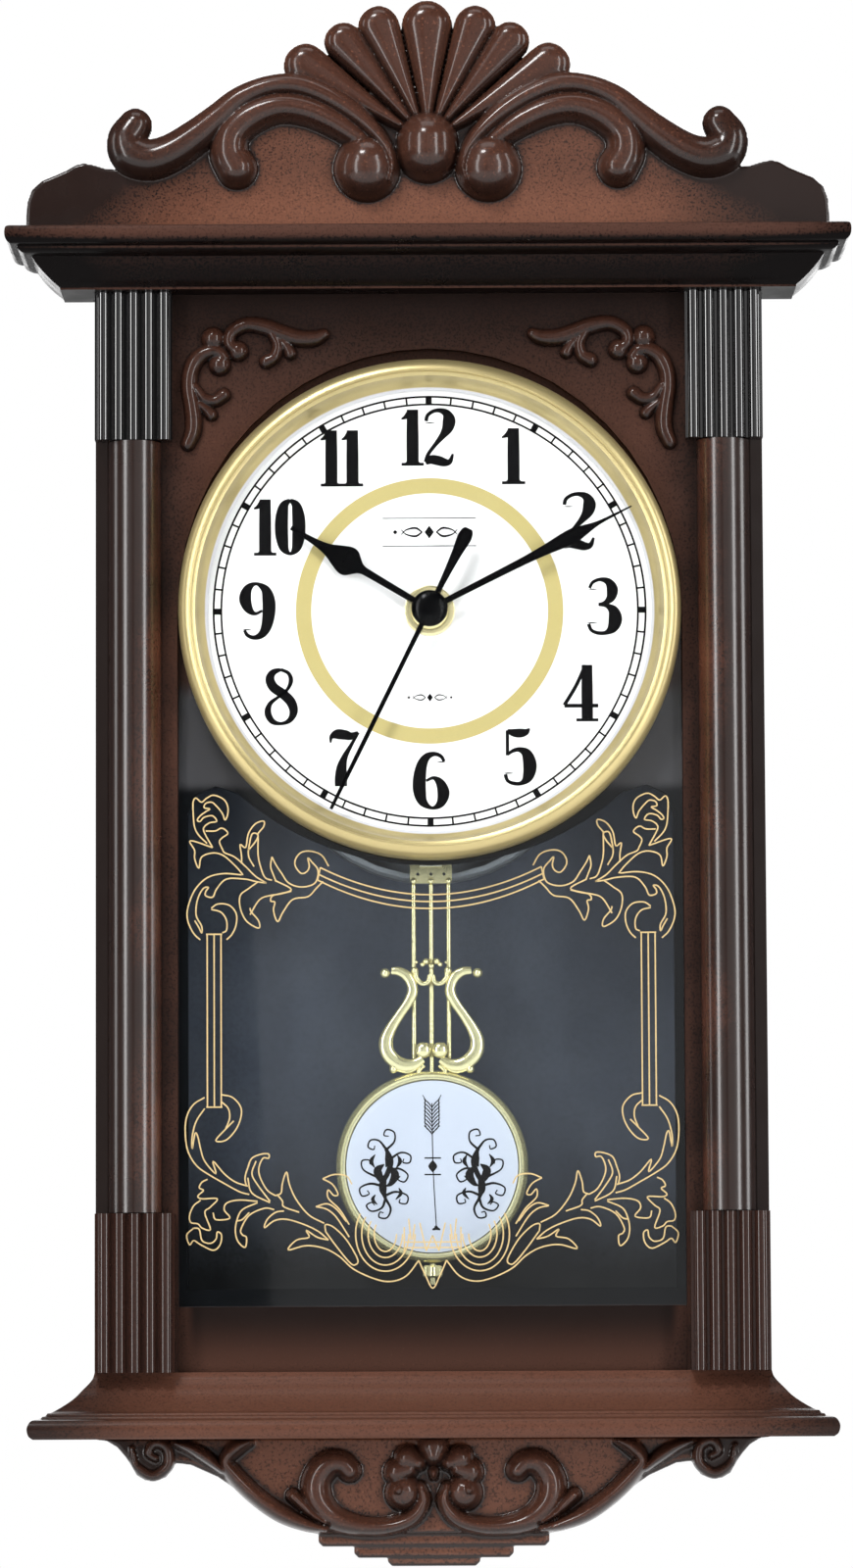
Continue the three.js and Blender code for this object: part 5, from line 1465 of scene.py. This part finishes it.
# A flourish round its own middle, as strokes of (x, drop, width); LEAVES fill it.
SWIRLS = [
    [(0, -9, 1.3), (-1.6, -4.6, 1.8), (-0.4, 0, 1.9), (1.5, 4.4, 1.8), (0.2, 9, 1.2)],
    [(0, -9, 1), (2.2, -12, 0.7), (4.8, -12.2, 0.6), (5.6, -9.8, 0.6), (3.9, -8.8, 0.5), (3.5, -10.2, 0.4)],
    [(0, -8.6, 1), (-2.6, -11.6, 0.7), (-2.6, -15, 0.6), (-0.2, -16, 0.6), (0.6, -14, 0.5),
     (-0.9, -13.6, 0.4)],
    [(-1, -5, 1), (-4.6, -7.6, 0.7), (-7.6, -6.6, 0.6), (-7.4, -4, 0.6), (-5.4, -4, 0.5), (-5.6, -5.4, 0.4)],
    [(-0.6, -1, 1), (-4, -1.8, 0.8), (-6.8, 0.4, 0.6), (-5.8, 3, 0.6), (-3.8, 2.2, 0.5), (-4.4, 0.9, 0.4)],
    [(0.6, 2, 1), (4, 0.6, 0.8), (7.2, -1.6, 0.6), (7.6, -4.6, 0.6), (5.4, -5, 0.5), (5, -3.4, 0.4)],
    [(1.4, 4.4, 1), (5, 3.6, 0.8), (8.2, 5.2, 0.6), (7.6, 8, 0.6), (5.4, 7.4, 0.5), (5.9, 6, 0.4)],
    [(0.4, 8, 1), (-3, 6.6, 0.8), (-6.6, 8, 0.6), (-6.4, 10.8, 0.6), (-4.2, 10.6, 0.5), (-4.4, 9.2, 0.4)],
    [(0.2, 9, 1), (1.4, 12.4, 0.8), (4.6, 13.6, 0.6), (6.2, 11.6, 0.6), (4.6, 10.4, 0.5), (3.6, 11.4, 0.4)],
    [(0.2, 9, 1), (-1.4, 12.8, 0.8), (-0.2, 16, 0.6), (2.2, 15.8, 0.6), (2, 14, 0.5), (0.8, 14.2, 0.4)],
]
SWIRL_CENTRE = (16.8, 2.6)
SWIRL_SPREAD = 1.16
LEAVES = [
    [(0, -8.6, 0.4), (-0.8, -5.4, 2.6), (0, -2.4, 0.5)],
    [(0.6, -3.4, 0.4), (2.6, -1.2, 3), (1.6, 2, 2.4), (0, 3.4, 0.4)],
    [(-0.4, -3.2, 0.4), (-2.8, 0.2, 3), (-1.6, 3.4, 2), (0, 4.6, 0.4)],
    [(0, 2.4, 0.4), (1, 5.4, 2.8), (0.2, 9, 0.4)],
    [(-3.6, -6.8, 0.3), (-4.4, -4.4, 1.5), (-3.2, -2, 0.3)],
    [(3.4, -7, 0.3), (4.6, -4.6, 1.5), (3.6, -2.2, 0.3)],
    [(-4, 5.2, 0.3), (-4.6, 7.2, 1.3), (-3, 9.4, 0.3)],
    [(3.4, 7.6, 0.3), (4.2, 9.4, 1.3), (2.8, 11.2, 0.3)],
]


def dome(radius):
    """The depth of the porcelain face, a shallow dome, at a distance from its middle."""
    share = min(radius / BOB_FACE.half, 1)
    return BOB_FACE.front - DOME_RISE * (1 - math.sqrt(1 - DOME_SPAN * share ** 2))


def bob():
    ring = Shape()
    back = BOB.back
    front = BOB.front
    outer = BOB.half
    ring.lathe([
        (outer - 1, back), (outer - 0.2, back + 0.8), (outer, back + 2.4), (outer, back + 4),
        (outer - 0.3, back + 5.3), (outer - 0.9, front - 0.6), (outer - 1.7, front - 0.1),
        (outer - 2.4, front - 0.2), (outer - 3, front - 0.8), (outer - 3.4, front - 1.6),
        (outer - 3.5, back),
    ], drop=BOB.middle, segments=200)
    make_piece("bob_rim_spun", ring, BRASS, body="pendulum", nodes=["bob_ring"])
    face = Shape()
    edge = BOB_FACE.half
    levels = [(edge * step / 24, dome(edge * step / 24)) for step in range(25)]
    face.lathe([*levels, (edge, BOB_FACE.back), (0, BOB_FACE.back)], drop=BOB_FACE.middle, segments=160)
    make_piece("bob_porcelain_dome", face, PORCELAIN, body="pendulum",
               nodes=["bob_face"])


def bob_print():
    """A feathered arrow between two curled flourishes, printed on the dome."""
    middle = BOB_FACE.middle
    shape = Shape()

    def level(x, drop):
        return dome(math.hypot(x, drop - middle))

    def draw(rows, lift):
        """A stroke of (x, drop, width) from the middle of the face."""
        rows = [(x, middle + drop, width) for x, drop, width in rows]
        shape.line(spline(rows, 6), -0.3, PRINT + lift, surface=level)

    draw([(0, -ARROW_TOP + 3, 0.35), (0.3, 0, 0.35), (1.4, 22, 0.35)], 0)
    for side in SIDES:
        for barb in range(BARBS):
            drop = -ARROW_TOP + 3 + BARB_PITCH * barb
            draw([(0, drop + 1.6, 0.3), (side * 1.2, drop, 0.45), (side * 2.9, drop - 1.6, 0.3)], 0.01)
        draw([(side * 2.5, -ARROW_TOP + 1.6, 0.4), (side * 2.4, -15, 0.35), (side * 0.2, -12.4, 0.3)],
             0.02)
        draw([(side * 2.4, -ARROW_TOP + 1.8, 0.35), (side * 3.4, -ARROW_TOP, 0.25)], 0.02)
        draw([(1.4 + side * 1.4, 23, 0.6), (1.4, 22.4, 1.2), (1.2 - side * 0.2, 21.6, 0.4)], 0.02)
    draw([(0.2, -2.2, 0.3), (0.2, 0, 3.2), (0.2, 2.2, 0.3)], 0.03)
    for bar in (-3, 3):
        draw([(-2.8, bar, 0.5), (3.2, bar, 0.5)], 0.03)
    across, below = SWIRL_CENTRE
    for side in SIDES:
        for layer, rows in enumerate([*SWIRLS, *LEAVES]):
            rows = [(side * (across + SWIRL_SPREAD * x), below + drop, width) for x, drop, width in rows]
            draw(rows, LINE_LAYER * layer)
    make_piece("bob_print", shape, INK, body="pendulum")


NOTCHES = 28
KNURL = 0.25
NUT_CHAMFER = 0.6
NUT_END = 0.86


def rating_nut():
    """A knurled nut on the screw under the bob: a serrated plan with chamfered ends."""
    box = Extent("rating_nut")
    depth = (box.back + box.front) / 2
    plan = []
    for step in range(2 * NOTCHES):
        angle = math.pi * step / NOTCHES
        radius = box.half - (KNURL if step % 2 else 0)
        plan.append((radius * math.cos(angle), radius * math.sin(angle)))
    levels = [(NUT_END, box.top), (1, box.top + NUT_CHAMFER), (1, box.bottom - NUT_CHAMFER),
              (NUT_END, box.bottom)]
    shape = Shape()
    points = [(box.x + size * x, depth + size * out, drop) for size, drop in levels for x, out in plan]
    count = len(plan)
    faces = [range(count - 1, -1, -1), range(3 * count, 4 * count)]
    for level in range(len(levels) - 1):
        for step in range(count):
            turn = (step + 1) % count
            low, high = level * count, (level + 1) * count
            faces.append((low + step, low + turn, high + turn, high + step))
    shape.add(points, faces)
    make_piece("rating_nut_knurled", shape, BRASS, body="pendulum",
               nodes=["rating_nut"])


# ---- light and surroundings ---------------------------------------------------------------------
DIM = (0.05, 0.05, 0.053, 1)
WHITE = (1, 1, 1, 1)
FLOOR_Z = -0.69
FLOOR_HALF = 3
FLOOR_GLOW = 0.4
TARGET = place(0, FRONT.front, 285)
# Each panel: azimuth and elevation in degrees, distance, width and height in metres, and power.
PANELS = {
    "window_right": (15.7, 9, 2.6, 1.77, 2.0, 6.5),
    "window_left": (-24, 9, 2.6, 1.2, 2.0, 3),
    "side_left": (-42, 8, 2.3, 0.4, 2.2, 30),
    "side_right": (44, 8, 2.3, 0.4, 2.2, 30),
    "key": (-24, 48, 2.2, 0.5, 0.4, 28),
    "top": (0, 80, 1.6, 1.0, 0.6, 4),
    "rim_left": (-90, 12, 2.0, 0.4, 1.6, 8),
    "rim_right": (88, 12, 2.0, 0.5, 1.6, 16),
    "rear": (178, 18, 2.4, 1.6, 1.6, 30),
}


def area_light(name, azimuth, elevation, distance, width, height, power):
    """A soft panel aimed at the clock; azimuth turns to the right of straight ahead."""
    data = bpy.data.lights.new(name, "AREA")
    data.shape = "RECTANGLE"
    data.size = width
    data.size_y = height
    data.energy = power
    light = bpy.data.objects.new(name, data)
    bpy.context.scene.collection.objects.link(light)
    turn = math.radians(azimuth)
    rise = math.radians(elevation)
    offset = Vector((math.sin(turn) * math.cos(rise), -math.cos(turn) * math.cos(rise), math.sin(rise)))
    light.location = TARGET + offset * distance
    light.rotation_euler = offset.to_track_quat("Z", "Y").to_euler()


def world():
    """White to the eye and a dim grey to everything the light reaches."""
    space = bpy.data.worlds.new("studio")
    space.use_nodes = True
    tree = space.node_tree
    background = tree.nodes["Background"]
    seen = tree.nodes.new("ShaderNodeLightPath")
    blend = tree.nodes.new("ShaderNodeMix")
    blend.data_type = "RGBA"
    colours = [socket for socket in blend.inputs if socket.type == "RGBA"]
    colours[0].default_value = DIM
    colours[1].default_value = WHITE
    result = next(socket for socket in blend.outputs if socket.type == "RGBA")
    tree.links.new(seen.outputs["Is Camera Ray"], blend.inputs[0])
    tree.links.new(result, background.inputs["Color"])
    bpy.context.scene.world = space
    bpy.context.scene.view_settings.view_transform = "Standard"


def floor():
    mesh = bpy.data.meshes.new("floor")
    corners = [(-1, -1), (1, -1), (1, 1), (-1, 1)]
    mesh.from_pydata([(x * FLOOR_HALF, y * FLOOR_HALF, FLOOR_Z) for x, y in corners], [], [(0, 1, 2, 3)])
    pale = plain("floor_pale", (240, 240, 240), 0.8, speckle=0.04, grain=60, level=0.2)
    shader = pale.node_tree.nodes["Principled BSDF"]
    shader.inputs["Emission Color"].default_value = colour(245, 245, 245)
    shader.inputs["Emission Strength"].default_value = FLOOR_GLOW
    mesh.materials.append(pale)
    plane = bpy.data.objects.new("floor", mesh)
    bpy.context.scene.collection.objects.link(plane)


make_camera()
world()
for panel, settings in PANELS.items():
    area_light(panel, *settings)
floor()
dress_cad_nodes()
moulding("cornice", CORNICE_PROFILE, CORNICE, CORNICE_BROWN)
moulding("base_plinth", PLINTH_PROFILE, PLINTH, BROWN)
for side_name in ("left", "right"):
    reeded_block(f"{side_name}_upper_fluted_block", REED_BROWN)
    reeded_block(f"{side_name}_lower_fluted_block", LOWER_REED_BROWN)
    column(f"{side_name}_column_shaft")
corner_scroll("left_corner_scroll", -1)
corner_scroll("right_corner_scroll", 1)
crest()
apron()
dial_print()
dial_band()
bezel()
for hand_node, hand_shape in HAND_SHAPES.items():
    hand(hand_node, **hand_shape)
centre_nut()
pane_lines()
hanger()
rods()
lyre()
bob()
bob_print()
rating_nut()
